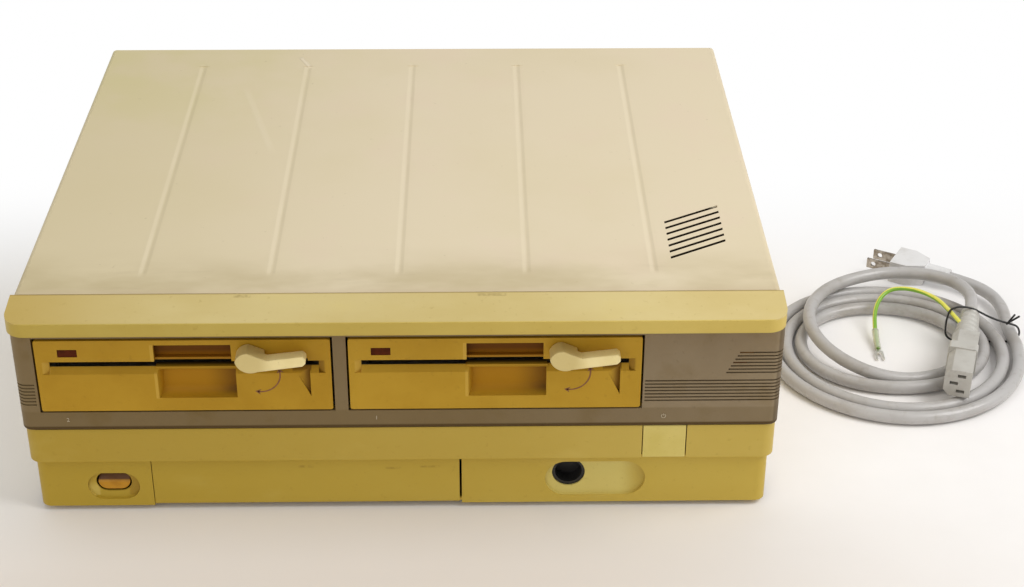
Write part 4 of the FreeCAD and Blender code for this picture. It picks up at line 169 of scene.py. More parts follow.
# Shapes.
# Meshes that the scene adds, and rounded copies that stand for the machine's own pieces.
def surface_mesh(name, grid, closed_round=False, stripe=None):
    """A mesh over a grid of points, rows by columns; closed_round joins the last column to the first.

    Rows that shrink to one point close the ends, and the faces of a closed surface then look outward.
    stripe is a number for each point of the grid that a finish can read."""
    rows, columns = grid.shape[:2]
    across = columns if closed_round else columns - 1
    row, column = np.meshgrid(np.arange(rows - 1), np.arange(across), indexing="ij")
    after = (column + 1) % columns
    faces = np.stack([row * columns + column, row * columns + after,
                      (row + 1) * columns + after, (row + 1) * columns + column], -1)
    mesh = bpy.data.meshes.new(name)
    mesh.from_pydata(grid.reshape(-1, 3).tolist(), [], faces.reshape(-1, 4).tolist())
    mesh.polygons.foreach_set("use_smooth", [True] * len(mesh.polygons))
    if stripe is not None:
        mesh.attributes.new("stripe", "FLOAT", "POINT").data.foreach_set("value", stripe.ravel())
    if closed_round:
        work = bmesh.new()
        work.from_mesh(mesh)
        bmesh.ops.remove_doubles(work, verts=work.verts, dist=1e-7)
        bmesh.ops.recalc_face_normals(work, faces=work.faces)
        work.to_mesh(mesh)
        work.free()
    return mesh


def stand(name, mesh, material, body):
    """Puts a mesh in the scene as a piece that rides on a body."""
    piece = bpy.data.objects.new(name, mesh)
    bpy.context.scene.collection.objects.link(piece)
    mesh.materials.clear()
    mesh.materials.append(material)
    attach(piece, body)
    return piece


def turned_about(origin, heading, profile, sides):
    """A surface of revolution: each row is a distance along the heading and a radius round it."""
    heading = np.array(heading) / np.linalg.norm(heading)
    up = np.array([0.0, 0.0, 1.0])
    side = np.cross(heading, up)
    angle = np.linspace(0, 2 * np.pi, sides, endpoint=False)
    ring = np.cos(angle)[:, None] * side + np.sin(angle)[:, None] * up
    profile = np.array(profile)
    return np.array(origin) + profile[:, 0, None, None] * heading + profile[:, 1, None, None] * ring


def rounded_copy(name, node, body, material, width, sharpest=35, joined=True):
    """A copy of a node's mesh that stands for it, its corners rounded as the mould or press leaves them.

    joined makes one face of each flat side first."""
    mesh = nodes[node].data.copy()
    mesh.name = name
    work = bmesh.new()
    work.from_mesh(mesh)
    bmesh.ops.remove_doubles(work, verts=work.verts, dist=1e-6)
    if joined:
        bmesh.ops.dissolve_limit(work, angle_limit=0.005, verts=work.verts, edges=work.edges)
    for face in work.faces:
        face.smooth = True
    work.to_mesh(mesh)
    work.free()
    if "custom_normal" in mesh.attributes:
        mesh.attributes.remove(mesh.attributes["custom_normal"])
    piece = stand(name, mesh, material, body)
    corners = piece.modifiers.new("corners", "BEVEL")
    corners.width = width
    corners.segments = 2
    corners.limit_method = "ANGLE"
    corners.angle_limit = math.radians(sharpest)
    flats = piece.modifiers.new("flats", "WEIGHTED_NORMAL")
    flats.mode = "FACE_AREA"
    flats.weight = 50
    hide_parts(node)
    return piece


# Mains cord.
# A round grey vinyl lead, 7.6 mm thick and a metre and a half long, wound in loose turns beside the case.
CORD_ACROSS = 0.0076
COIL_CENTRE = np.array([0.286, 0.002])
COIL_REACH = 0.072
COIL_SHARES = (1.0, 0.64, 0.46, 0.61, 0.64, 0.76, 0.583, 0.745,
               0.782, 0.884, 0.897, 0.882, 0.905, 1.005, 1.02, 1.007)
COIL_HEIGHTS = (0.0126, 0.0124, 0.004, 0.0055, 0.004, 0.004, 0.004, 0.0055,
                0.004, 0.004, 0.004, 0.0055, 0.004, 0.004, 0.004, 0.0055)
SOCKET_EXIT = (0.334, 0.018, 0.018)
FROM_SOCKET = (SOCKET_EXIT, (0.3374, 0.0285, 0.018), (0.3396, 0.0435, 0.0176),
               (0.334, 0.059, 0.0164), (0.321, 0.0708, 0.0148), (0.304, 0.0764, 0.0132))
TO_PLUG = ((0.359, 0.010, 0.0055), (0.3594, 0.028, 0.0058), (0.361, 0.044, 0.0066),
           (0.3576, 0.059, 0.0071), (0.3476, 0.0712, 0.0075), (0.336, 0.079, 0.0075))


def eased(stations, count):
    """Values between stations on smooth cubics: each keeps its value and the slope of its neighbours."""
    stations = np.array(stations)
    slope = np.gradient(stations)
    spot = np.linspace(0, len(stations) - 1, (len(stations) - 1) * count + 1)
    before = np.minimum(spot.astype(int), len(stations) - 2)
    part = spot - before
    return ((2 * part ** 3 - 3 * part ** 2 + 1) * stations[before]
            + (part ** 3 - 2 * part ** 2 + part) * slope[before]
            + (3 * part ** 2 - 2 * part ** 3) * stations[before + 1]
            + (part ** 3 - part ** 2) * slope[before + 1])


def coil_points():
    """Sixteen points a turn: the reach and height of each quarter turn, eased, round the coil's centre.

    The spline runs inside its points by the share that the points are moved out."""
    reach = eased(COIL_SHARES, 4) * COIL_REACH / math.cos(math.pi / 16)
    height = np.maximum(eased(COIL_HEIGHTS, 4), CORD_ACROSS / 2 + 0.0002)
    angle = np.pi / 2 * (1 + np.linspace(0, len(COIL_SHARES) - 1, len(reach)))
    return np.column_stack([COIL_CENTRE[0] + reach * np.cos(angle),
                            COIL_CENTRE[1] + reach * np.sin(angle), height])


def laid(name, points, radius):
    """A round lead on one smooth spline through its control points."""
    data = bpy.data.curves.new(name, "CURVE")
    data.dimensions = "3D"
    data.bevel_depth = radius
    data.bevel_resolution = 6
    data.resolution_u = 8
    data.use_fill_caps = True
    spline = data.splines.new("NURBS")
    spline.points.add(len(points) - 1)
    rows = np.column_stack([np.array(points), np.ones(len(points))])
    spline.points.foreach_set("co", rows.ravel())
    spline.order_u = 3
    spline.use_endpoint_u = True
    lead = bpy.data.objects.new(name, data)
    bpy.context.scene.collection.objects.link(lead)
    return lead


def grey_vinyl(name, pale, dirty, shine):
    """Soft vinyl: smears of grime, dull where it was handled, with the faint ripple of its strands below."""
    vinyl = Finish(name)
    grime = vinyl.step(vinyl.clouds(0.03, 4), 0.45, 0.75)
    grime = grime + 0.4 * vinyl.step(vinyl.clouds(0.004, 3), 0.55, 0.7)
    dull = 0.16 * vinyl.clouds(0.008, 3) + shine
    ripple = vinyl.clouds(0.012, 2) + 0.05 * vinyl.clouds(0.0009, 2)
    return vinyl.finish(vinyl.tint(grime, pale, dirty), dull, ripple, 0.0003, coat=0.2)


cord = laid("mains_lead", np.vstack([FROM_SOCKET, coil_points(), TO_PLUG]), CORD_ACROSS / 2)
cord.data.materials.append(grey_vinyl("grey_vinyl", linear(183, 180, 177), linear(165, 159, 152), 0.24))
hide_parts("mains_cord")
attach(cord, "case")

# Cord socket.
# The grey three-slot connector, moulded round the lead's end with a ringed strain relief behind its grip.
SOCKET_HEADING = (0.309, 0.951, 0)
socket_vinyl = grey_vinyl("socket_vinyl", linear(189, 186, 178), linear(171, 166, 157), 0.38)
socket_body = rounded_copy("connector_body", "cord_socket", "case", socket_vinyl, 0.0009)
RELIEF_BACK = -0.036
RELIEF_FRONT = 0.0005
RING_COUNT = 7
ring_spot = np.linspace(RELIEF_BACK, RELIEF_FRONT, 74)
ring_share = (ring_spot - RELIEF_BACK) / (RELIEF_FRONT - RELIEF_BACK)
ring_wave = np.clip(np.sin(ring_share * 2 * np.pi * RING_COUNT) * 3, -1, 1)
ring_radius = 0.0069 - 0.0018 * ring_share + 0.00045 * ring_wave
ring_profile = np.column_stack([ring_spot, ring_radius])
ring_profile = np.vstack([[RELIEF_BACK, 0], ring_profile, [RELIEF_FRONT, 0]])
ring_grid = turned_about(SOCKET_EXIT, SOCKET_HEADING, ring_profile, 40)
ring_mesh = surface_mesh("relief_rings", ring_grid, closed_round=True)
relief_rings = stand("relief_rings", ring_mesh, socket_vinyl, "case")

# Mains plug.
# A whitish moulded plug, greyed with age, with two flat blades of holed plated brass.
PLUG_PLACE = TO_PLUG[-1]
PLUG_HEADING = (-0.866, 0.5, 0)
BLADES_FROM = 0.0361
SHARP = 0.00005


def plug_finish():
    """Milky vinyl up to the plug's face, and mottled plate along the blades beyond it."""
    plug = Finish("plug_vinyl_and_blades")
    reach = (plug.coordinate("X") - PLUG_PLACE[0]) * PLUG_HEADING[0]
    reach = reach + (plug.coordinate("Y") - PLUG_PLACE[1]) * PLUG_HEADING[1]
    blade = plug.step(reach, BLADES_FROM - SHARP, BLADES_FROM + SHARP)
    greyed = plug.step(plug.clouds(0.01, 4), 0.4, 0.7)
    milk = plug.tint(greyed, linear(226, 225, 224), linear(214, 212, 209))
    mottle = plug.step(plug.clouds(0.003, 4), 0.4, 0.6)
    plate = plug.tint(mottle, linear(196, 186, 172), linear(150, 138, 122))
    rough = plug.step(plug.clouds(0.002, 2), 0.3, 0.8) * 0.2 + 0.3
    return plug.finish(plug.tint(blade, milk, plate), rough, plug.clouds(0.0008, 3), 0.00003, metallic=blade)


plug_body = rounded_copy("plug_body", "mains_plug", "case", plug_finish(), 0.0007)

# Cord tie.
# A black coated wire, twisted round the turns by hand, with its two ends left standing.
tie_black = Finish("tie_black")
tie_black.finish(tie_black.tint(tie_black.clouds(0.004), linear(26, 26, 28), linear(52, 50, 48)),
                 0.35 + 0.2 * tie_black.clouds(0.003), tie_black.clouds(0.001), 0.00005)
dress(tie_black.material, "cord_tie")

# Earth lead.
# A thin green lead with a winding yellow stripe, out of the socket, over the coil and down inside it.
EARTH_ACROSS = 0.0026
EARTH_ROUTE = np.array([(326.5, -3, 20), (321.8, 14, 20.8), (316.5, 33, 20.5), (304, 46, 19.5),
                        (290, 48.5, 17.5), (281, 38, 12), (278, 20, 5.4), (277.5, 4, 2.4)]) / 1000


def route_line(points):
    """The points of the smooth spline through a lead's control points."""
    bare = laid("route", points, 0)
    mesh = bpy.data.meshes.new_from_object(bare)
    line = np.empty(len(mesh.vertices) * 3)
    mesh.vertices.foreach_get("co", line)
    bpy.data.objects.remove(bare)
    return line.reshape(-1, 3)


def tube_grid(line, radii, sides):
    """Rings round a line, each square to it and turned as little as can be, with closed ends."""
    line = np.vstack([line[:1], line, line[-1:]])
    ahead = np.gradient(line, axis=0)
    ahead[0] = ahead[1]
    ahead[-1] = ahead[-2]
    ahead = ahead / np.linalg.norm(ahead, axis=1)[:, None]
    radii = np.concatenate([[0], np.broadcast_to(radii, len(line) - 2), [0]])
    angle = np.linspace(0, 2 * np.pi, sides, endpoint=False)
    side = np.cross(ahead[0], (0, 0, 1))
    rings = []
    for centre, heading, radius in zip(line, ahead, radii):
        side = side - heading * (side @ heading)
        side = side / np.linalg.norm(side)
        up = np.cross(side, heading)
        rings.append(centre + radius * (np.cos(angle)[:, None] * side + np.sin(angle)[:, None] * up))
    return np.array(rings)


def striped_vinyl():
    """Green vinyl whose mesh says how far round each point is from the middle of the yellow stripe."""
    striped = Finish("green_and_yellow_vinyl")
    side = striped.node("ShaderNodeAttribute", {"attribute_name": "stripe"}, (), "Fac")
    yellow = striped.step(side + 0.1 * striped.clouds(0.003, 2), 0.10, 0.30)
    green = striped.tint(striped.clouds(0.006, 3), linear(118, 168, 44), linear(140, 188, 62))
    gold = striped.tint(striped.clouds(0.005, 3), linear(228, 222, 70), linear(238, 234, 120))
    return striped.finish(striped.tint(yellow, green, gold), 0.28 + 0.15 * striped.clouds(0.004))


earth_line = route_line(EARTH_ROUTE)
EARTH_SIDES = 20
earth_grid = tube_grid(earth_line, EARTH_ACROSS / 2, EARTH_SIDES)
winding = np.linspace(-1.9, 0.2, len(earth_grid))[:, None]
stripe = np.cos(np.linspace(0, 2 * np.pi, EARTH_SIDES, endpoint=False)[None, :] + winding)
earth_mesh = surface_mesh("earth_lead_striped", earth_grid, closed_round=True, stripe=stripe)
earth_lead = stand("earth_lead_striped", earth_mesh, striped_vinyl(), "case")
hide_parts("earth_lead")

SLEEVE_REACH = 0.0175
sleeve_line = earth_line[np.linalg.norm(earth_line - earth_line[-1], axis=1) < SLEEVE_REACH]
sleeve_vinyl = Finish("clear_sleeve")
sleeve_tone = sleeve_vinyl.tint(sleeve_vinyl.clouds(0.004), linear(232, 230, 214), linear(214, 212, 190))
sleeve_vinyl.finish(sleeve_tone, 0.18 + 0.2 * sleeve_vinyl.clouds(0.002), sleeve_vinyl.clouds(0.003), 0.0001)
sleeve_vinyl.surface.inputs["Alpha"].default_value = 0.5
sleeve_radii = 0.0020 + 0.00008 * np.cos(np.linspace(0, 5, len(sleeve_line)))
sleeve_mesh = surface_mesh("clear_sleeve", tube_grid(sleeve_line, sleeve_radii, 24), closed_round=True)
clear_sleeve = stand("clear_sleeve", sleeve_mesh, sleeve_vinyl.material, "case")


def plate_mesh(name, outline, low, high):
    """A flat plate: an outline in X and Y, from its lower face at low to its upper face at high."""
    count = len(outline)
    points = [(x, y, z) for z in (low, high) for x, y in outline]
    faces = [list(range(count))[::-1], list(range(count, 2 * count))]
    for index in range(count):
        after = (index + 1) % count
        faces.append([index, after, count + after, count + index])
    mesh = bpy.data.meshes.new(name)
    mesh.from_pydata(points, [], faces)
    return mesh


def plated_steel(name, light, dull, rough, grain=(0.05, 1, 1)):
    """Plated metal: a mottled grey with fine lines from rolling, drawing or turning."""
    steel = Finish(name)
    mottle = steel.step(steel.clouds(0.009, 5), 0.3, 0.8)
    lines = steel.clouds(0.002, 3, grain)
    smear = steel.step(steel.clouds(0.006, 4), 0.5, 0.8)
    return steel.finish(steel.tint(mottle, light, dull), rough + 0.12 * mottle + 0.1 * smear, lines, 0.00002,
                        metallic=1.0)


bow = np.linspace(0, np.pi, 9)
fork_outline = np.vstack([
    [(-1.3, 9), (-1.3, -1.6), (-2.6, -3.4), (-2.6, -10), (-1.4, -10.4)],
    np.column_stack([-1.35 * np.cos(bow), -5.4 + 1.35 * np.sin(bow)]),
    [(1.4, -10.4), (2.6, -10), (2.6, -3.4), (1.3, -1.6), (1.3, 9)]]) / 1000
fork_mesh = plate_mesh("earth_fork", fork_outline, -0.0004, 0.0004)
fork_points = np.empty(len(fork_mesh.vertices) * 3)
fork_mesh.vertices.foreach_get("co", fork_points)
fork_points = fork_points.reshape(-1, 3)
fork_points[:, 2] += 0.12 * np.minimum(fork_points[:, 1], 0)
fork_points = fork_points + earth_line[-1]
fork_mesh.vertices.foreach_set("co", fork_points.ravel())
tinned = plated_steel("tinned_fork", linear(238, 236, 226), linear(212, 208, 196), 0.34)
earth_fork = stand("earth_fork", fork_mesh, tinned, "case")
fork_edges = earth_fork.modifiers.new("edges", "BEVEL")
fork_edges.width = 0.00015
fork_edges.segments = 2

# The table and the light.
# A matt pale table that fades to white behind, a large lamp at the right, two weaker ones and room light.
table_grid = np.meshgrid(np.linspace(-6, 6, 13), np.linspace(-4, 8, 13), [0.0], indexing="ij")
table_mesh = surface_mesh("table", np.stack(table_grid, -1)[:, :, 0])
table = bpy.data.objects.new("table", table_mesh)
bpy.context.scene.collection.objects.link(table)
white = Finish("table_white")
seen = white.node("ShaderNodeLightPath", output="Is Camera Ray")
mirrored = white.node("ShaderNodeLightPath", output="Is Glossy Ray")
far = white.step(white.coordinate("Y"), 0.0, 0.24)
# Painted shadow: the table darkens towards the front, left of the case's right side.
near = white.step(white.coordinate("Y"), -0.10, -0.24) * white.step(white.coordinate("X"), 0.45, 0.05)
pale = white.tint(white.clouds(0.03), linear(240, 237, 234), linear(245, 242, 240))
# Painted light: the table is paler at its left, where the case's shadow falls.
pale = white.tint(white.step(white.coordinate("X"), 0.10, -0.18), pale, linear(255, 252, 248))
white.finish(white.tint(near * 0.8, pale, linear(222, 211, 198)), 0.85)
glow = white.node("ShaderNodeEmission", (), {"Color": (1, 1, 1, 1), "Strength": 1.0}, "Emission")
mixed = white.node("ShaderNodeMixShader", (), {0: far * seen.over(mirrored)})
white.links.new(white.surface.outputs[0], mixed.socket.node.inputs[1])
white.links.new(glow.socket, mixed.socket.node.inputs[2])
white.links.new(mixed.socket, white.nodes["Material Output"].inputs["Surface"])
table.data.materials.append(white.material)

world = bpy.data.worlds.new("room")
world.use_nodes = True
bpy.context.scene.world = world
ground = world.node_tree.nodes["Background"]
ground.inputs["Color"].default_value = (1, 1, 1, 1)
ground.inputs["Strength"].default_value = 0.52
sky = world.node_tree.nodes.new("ShaderNodeBackground")
sky.inputs["Strength"].default_value = 1.0
path = world.node_tree.nodes.new("ShaderNodeLightPath")
pick = world.node_tree.nodes.new("ShaderNodeMixShader")
world.node_tree.links.new(path.outputs["Is Camera Ray"], pick.inputs[0])
world.node_tree.links.new(ground.outputs[0], pick.inputs[1])
world.node_tree.links.new(sky.outputs[0], pick.inputs[2])
world.node_tree.links.new(pick.outputs[0], world.node_tree.nodes["World Output"].inputs["Surface"])


def softbox(name, place, aim, width, height, power):
    """A flat lamp at a place in metres, turned to face its aim."""
    data = bpy.data.lights.new(name, "AREA")
    data.shape = "RECTANGLE"
    data.size = width
    data.size_y = height
    data.energy = power
    lamp = bpy.data.objects.new(name, data)
    lamp.location = place
    turn = np.array(aim) - np.array(place)
    flat = math.hypot(turn[0], turn[1])
    lamp.rotation_euler = (math.atan2(flat, -turn[2]), 0, math.atan2(-turn[0], turn[1]))
    bpy.context.scene.collection.objects.link(lamp)


softbox("key_lamp", (1.1, -0.35, 1.25), (0.1, 0, 0.05), 0.9, 0.9, 14)
softbox("top_lamp", (-0.1, 0.3, 1.7), (0, 0, 0.1), 1.2, 1.0, 2.8)
softbox("fill_lamp", (-1.0, -1.5, 0.8), (0, -0.1, 0.05), 1.4, 1.0, 6)


# Top cover.
# Folded steel sheet with five pressed channels, sprayed a fine-grained beige. Age left it greenish at the
# back left and dingy where hands rest along the front; each channel has a painted highlight along its left
# edge and painted shade along its middle.
CHANNEL_PITCH = 0.0644
CREASE_PLACE = (-0.064, 0.137)
CREASE_HEADING = (-0.42, 0.91)
DENT_PLACE = (-0.0965, 0.0908)
DENT_HEADING = (-0.26, 0.966)


def along_and_away(across, depth, place, heading):
    """How far a spot on the cover is from a place along a heading, and to its right."""
    right = across - place[0]
    back = depth - place[1]
    return right * heading[0] + back * heading[1], right * heading[1] - back * heading[0]


def spray_paint():
    """Beige with stains and marks, a crease and a dent painted paler as painted highlights, and painted
    shade in the vent's slots and on the cover's inside.
    """
    paint = Finish("beige_paint")
    across, depth, height = (paint.coordinate(axis) for axis in "XYZ")
    stain = paint.step(paint.clouds(0.12, 5), 0.40, 0.70)
    pink = paint.step(paint.clouds(0.05, 4, shift=(3, 1, 0)), 0.5, 0.7)
    left = paint.step(across, 0.02, -0.19)
    back = paint.step(depth, -0.02, 0.14)
    tone = paint.tint(stain * 0.5, linear(223, 208, 177), linear(217, 202, 165))
    tone = paint.tint(pink * 0.35, tone, linear(224, 204, 178))
    tone = paint.tint(left * 0.55, tone, linear(205, 190, 146))
    tone = paint.tint(left * back * paint.step(paint.clouds(0.05, 5, shift=(0, 2, 0)), 0.35, 0.65) * 0.6,
                      tone, linear(206, 195, 140))
    edge = paint.step(depth, -0.088, -0.134) * paint.step(height, 0.112, 0.127)
    smudge = paint.step(paint.clouds(0.045, 4, (0.6, 1.2, 1)), 0.28, 0.72)
    tone = paint.tint(smudge * edge * 0.7, tone, linear(184, 167, 126))
    rub = paint.step(paint.clouds(0.012, 6, (0.4, 2.0, 1), (1, 0, 0)), 0.6, 0.75) * edge
    tone = paint.tint(rub * 0.16, tone, linear(168, 150, 116))
    near_front = paint.step(depth, -0.132, -0.1385)
    tone = paint.tint(near_front * 0.35, tone, linear(200, 180, 148))
    # Each channel: painted shade along its middle and a painted highlight along its left edge.
    grime = 0
    channel_highlight = 0
    for middle in np.arange(-2, 3) * CHANNEL_PITCH:
        grime = paint.band(across, middle + 0.0006, middle + 0.0014, 0.0009) + grime
        channel_highlight = paint.band(across, middle - 0.0020, middle - 0.0010, 0.0009) + channel_highlight
    run = paint.band(depth, -0.116, 0.134, 0.008) * (0.35 + 0.65 * paint.clouds(0.03, 3, shift=(0, 5, 0)))
    tone = paint.tint(grime * run * 0.26, tone, linear(158, 142, 104))
    tone = paint.tint(channel_highlight * run * 0.42, tone, linear(238, 224, 194))
    # Painted shade in the vent's slots and on the cover's inside.
    slots = paint.band(across, 0.1372, 0.1688, 0.0003) * paint.band(depth, -0.112, -0.052, 0.002)
    slots = slots * paint.step(height, 0.12797, 0.12775)
    under = paint.step(height, 0.1270, 0.1266) * paint.band(across, -0.1885, 0.1885, 0.0002)
    tone = paint.tint(slots.over(under), tone, linear(40, 28, 12))
    fleck = paint.step(paint.clouds(0.0035, 5, shift=(7, 7, 7)), 0.70, 0.76)
    tone = paint.tint(fleck * 0.35, tone, linear(172, 156, 118))
    along, away = along_and_away(across, depth, CREASE_PLACE, CREASE_HEADING)
    crease = paint.band(away, -0.0006, 0.0006, 0.0012) * paint.band(along, 0.0, 0.013, 0.003)
    along, away = along_and_away(across, depth, DENT_PLACE, DENT_HEADING)
    dent = paint.band(away, -0.0004, 0.0008, 0.0022) * paint.band(along, -0.062, 0.0, 0.02)
    # The crease and the dent are painted paler: painted highlights, besides their relief below.
    tone = paint.tint((crease + dent * 0.35) * 0.45, tone, linear(236, 222, 196))
    relief = 0.05 * paint.clouds(0.0007, 3) + crease + 0.25 * dent
    rough = 0.44 + 0.14 * paint.clouds(0.05) + 0.1 * smudge * edge
    return paint.finish(tone, rough, relief, 0.0004, gloss=0.3)


rounded_copy("cover_sheet", "top_cover", "case", spray_paint(), 0.0004)


# Front mouldings.
# Beige ABS, fine-grained from the mould. Sun and years have browned it; it is browner to the lower left and
# paler to the right, and the visor's slope, facing up, is painted paler: painted light from above.
def yellowed_moulding():
    """Browned beige with the visor's tone, a few scuffs and a darker strip along the seam; painted light and
    shade on the visor's slope, in the two dishes and behind the face.
    """
    resin = Finish("yellowed_moulding")
    across, depth, height = (resin.coordinate(axis) for axis in "XYZ")
    right = resin.step(across, -0.19, 0.19)
    patch = resin.step(resin.clouds(0.05, 5, (0.6, 1, 1)), 0.35, 0.7)
    face = resin.tint(right, linear(179, 150, 57), linear(199, 173, 84))
    low = resin.tint(right, linear(179, 150, 51), linear(198, 171, 76))
    tone = resin.tint(resin.step(height, 0.0340, 0.0325), face, low)
    visor = resin.step(height, 0.115, 0.119)
    tone = resin.tint(visor, tone, resin.tint(right, linear(190, 166, 80), linear(213, 188, 102)))
    # The visor's slope, facing up, is painted paler: painted light from above.
    slope = resin.step(height, 0.1244, 0.1252) * resin.step(depth, -0.1634, -0.1622)
    lit_slope_tone = resin.tint(resin.step(across, -0.19, -0.10), linear(194, 168, 97), linear(207, 188, 129))
    lit_slope_tone = resin.tint(resin.step(across, 0.02, 0.17), lit_slope_tone, linear(216, 197, 139))
    tone = resin.tint(slope, tone, lit_slope_tone)
    # The keyboard dish: a painted highlight at its left and painted shade at its right end.
    dish = resin.band(across, 0.0738, 0.1260, 0.0002) * resin.step(height, 0.0292, 0.0288)
    dish = dish * resin.step(depth, -0.1449, -0.1440)
    dish_light_and_shade = resin.tint(resin.step(across, 0.112, 0.1235), linear(217, 203, 122), linear(190, 166, 80))
    tone = resin.tint(dish * 0.8, tone, dish_light_and_shade)
    # The reset key's dish: painted shade at its right and a painted highlight at its lower left.
    thumb = resin.step(depth, -0.1449, -0.1443) * resin.band(height, 0.0088, 0.0258, 0.0002)
    shaded = resin.band(across, -0.1425, -0.1365, 0.0012) * thumb
    tone = resin.tint(shaded * 0.55, tone, linear(146, 108, 34))
    lit = resin.band(across, -0.1645, -0.1590, 0.0012) * resin.step(height, 0.0190, 0.0130) * thumb
    tone = resin.tint(lit * 0.6, tone, linear(214, 192, 104))
    tone = resin.tint(patch * 0.25, tone, linear(178, 146, 44))
    pale = resin.step(resin.clouds(0.035, 4, (0.5, 1, 1), (4, 0, 2)), 0.55, 0.75)
    tone = resin.tint(pale * 0.18, tone, linear(218, 198, 116))
    speck = resin.step(resin.clouds(0.003, 4), 0.62, 0.74)
    tone = resin.tint(speck * 0.18, tone, linear(150, 118, 46))
    scuffs = 0
    for x0, x1, z0, z1 in ((-0.0530, -0.0475, 0.0267, 0.0273), (-0.0080, -0.0020, 0.0254, 0.0257),
                           (0.0100, 0.0180, 0.0262, 0.0265)):
        scuffs = resin.band(across, x0, x1, 0.0018) * resin.band(height, z0, z1, 0.0009) + scuffs
    for x0, x1 in ((-0.0800, -0.0735), (0.0400, 0.0525)):
        scuffs = resin.band(across, x0, x1, 0.0015) * resin.band(depth, -0.1424, -0.1408, 0.0006) + scuffs
    frayed = resin.step(resin.clouds(0.002, 4), 0.3, 0.6)
    tone = resin.tint(scuffs * frayed * 0.32, tone, linear(110, 82, 28))
    # Painted shade on the moulding's parts set well behind its face, in its holes and inside.
    behind = resin.step(depth, -0.1405, -0.1375) * resin.step(height, 0.122, 0.120)
    tone = resin.tint(behind, tone, linear(120, 92, 40))
    seam = resin.step(depth, -0.1404, -0.1396) * resin.step(height, 0.1245, 0.1255)
    tone = resin.tint(seam * 0.6, tone, linear(140, 112, 56))
    rough = 0.36 + 0.14 * resin.clouds(0.02) + 0.1 * speck
    relief = resin.clouds(0.0006, 3) + 0.6 * resin.clouds(0.02, 2)
    return resin.finish(tone, rough, relief, 0.00004, gloss=0.22)


front_finish = yellowed_moulding()
rounded_copy("front_moulding", "front_bezel", "case", front_finish, 0.0006)
rounded_copy("flap_panel", "flap_door", "flap", front_finish, 0.0004)


# Fascia.
# A taupe moulding round the drives, matt and even, with a shadowed hem along its foot.
def taupe_moulding():
    """Taupe that browns to the left, darker along its foot, with painted shadow on its hem and painted shade
    in the bottoms of its grooves.
    """
    resin = Finish("taupe_moulding")
    across, depth, height = (resin.coordinate(axis) for axis in "XYZ")
    patch = resin.step(resin.clouds(0.05, 5), 0.35, 0.7)
    warm = resin.step(resin.clouds(0.02, 4, shift=(2, 0, 1)), 0.5, 0.75)
    tone = resin.tint(patch, linear(144, 127, 100), linear(136, 118, 90))
    tone = resin.tint(0.35 * warm + 0.6 * resin.step(across, 0.14, 0.02), tone, linear(122, 101, 61))
    tone = resin.tint(resin.step(height, 0.0655, 0.0640) * 0.35, tone, linear(104, 84, 44))
    # Painted shadow along the hem, which curves under the fascia's lower edge.
    tone = resin.tint(resin.step(height, 0.0562, 0.0552), tone, linear(80, 60, 26))
    # Painted shade in the bottoms of the slanted grooves.
    groove_shade = resin.step(depth, -0.1486, -0.1481) * resin.step(across, 0.1225, 0.1235)
    tone = resin.tint(groove_shade * 0.6, tone, linear(78, 62, 38))
    speck = resin.step(resin.clouds(0.0025, 4), 0.62, 0.74)
    tone = resin.tint(speck * 0.2, tone, linear(104, 86, 56))
    return resin.finish(tone, 0.42 + 0.12 * resin.clouds(0.02), resin.clouds(0.0006, 3), 0.00003, gloss=0.25)


rounded_copy("fascia_moulding", "fascia_panel", "case", taupe_moulding(), 0.00018)

# Printed marks.
# Pale ink on the fascia: a plain digit under each drive and a ring with a bar above the power button.
PRINT_Y = -0.14905


def print_ink(name, fresh, worn):
    """Matt ink, worn thin in small patches."""
    ink = Finish(name)
    thin = ink.step(ink.clouds(0.0012, 4), 0.45, 0.7)
    return ink.finish(ink.tint(thin, fresh, worn), 0.5 + 0.2 * thin)


def upright_mesh(name, outline_faces, points, place):
    """A flat print that stands upright: points in X and Z in metres, moved to the print's place."""
    mesh = bpy.data.meshes.new(name)
    points = np.asarray(points)
    standing = np.column_stack([points[:, 0], 0 * points[:, 0], points[:, 1]]) + np.array(place)
    mesh.from_pydata(standing.tolist(), [], outline_faces)
    return mesh


def ribbon_faces(count):
    """Faces of a strip whose points run out along one edge and then along the other."""
    return [[index, index + 1, count + index + 1, count + index] for index in range(count - 1)]


def thicken(piece):
    """Gives a flat print the thickness of its ink."""
    ink_film = piece.modifiers.new("ink_film", "SOLIDIFY")
    ink_film.thickness = 0.00004
    ink_film.offset = 0


pale_ink = print_ink("pale_ink", linear(196, 184, 158), linear(168, 152, 124))
for digit, x in (("1", -0.0125), ("2", -0.1685)):
    drawn = bpy.data.curves.new("digit", "FONT")
    drawn.body = digit
    drawn.size = 0.0032
    drawn.align_x = "CENTER"
    drawing = bpy.data.objects.new("digit", drawn)
    bpy.context.scene.collection.objects.link(drawing)
    letters = bpy.data.meshes.new_from_object(drawing)
    bpy.data.objects.remove(drawing)
    spots = np.empty(len(letters.vertices) * 3)
    letters.vertices.foreach_get("co", spots)
    spots = spots.reshape(-1, 3)[:, :2]
    flat = [list(polygon.vertices) for polygon in letters.polygons]
    digit_mesh = upright_mesh("drive_digit_" + digit, flat, spots, (x, PRINT_Y, 0.0589))
    thicken(stand("drive_digit_" + digit, digit_mesh, pale_ink, "case"))
turn = np.linspace(np.radians(120), np.radians(420), 41)
ring = np.vstack([np.column_stack([np.cos(turn), np.sin(turn)]) * radius for radius in (0.00095, 0.00125)])
bar = np.array([(-0.00016, 0.0003), (0.00016, 0.0003), (0.00016, 0.0015), (-0.00016, 0.0015)])
ring_faces = ribbon_faces(len(turn))
bar_face = list(range(len(ring), len(ring) + len(bar)))
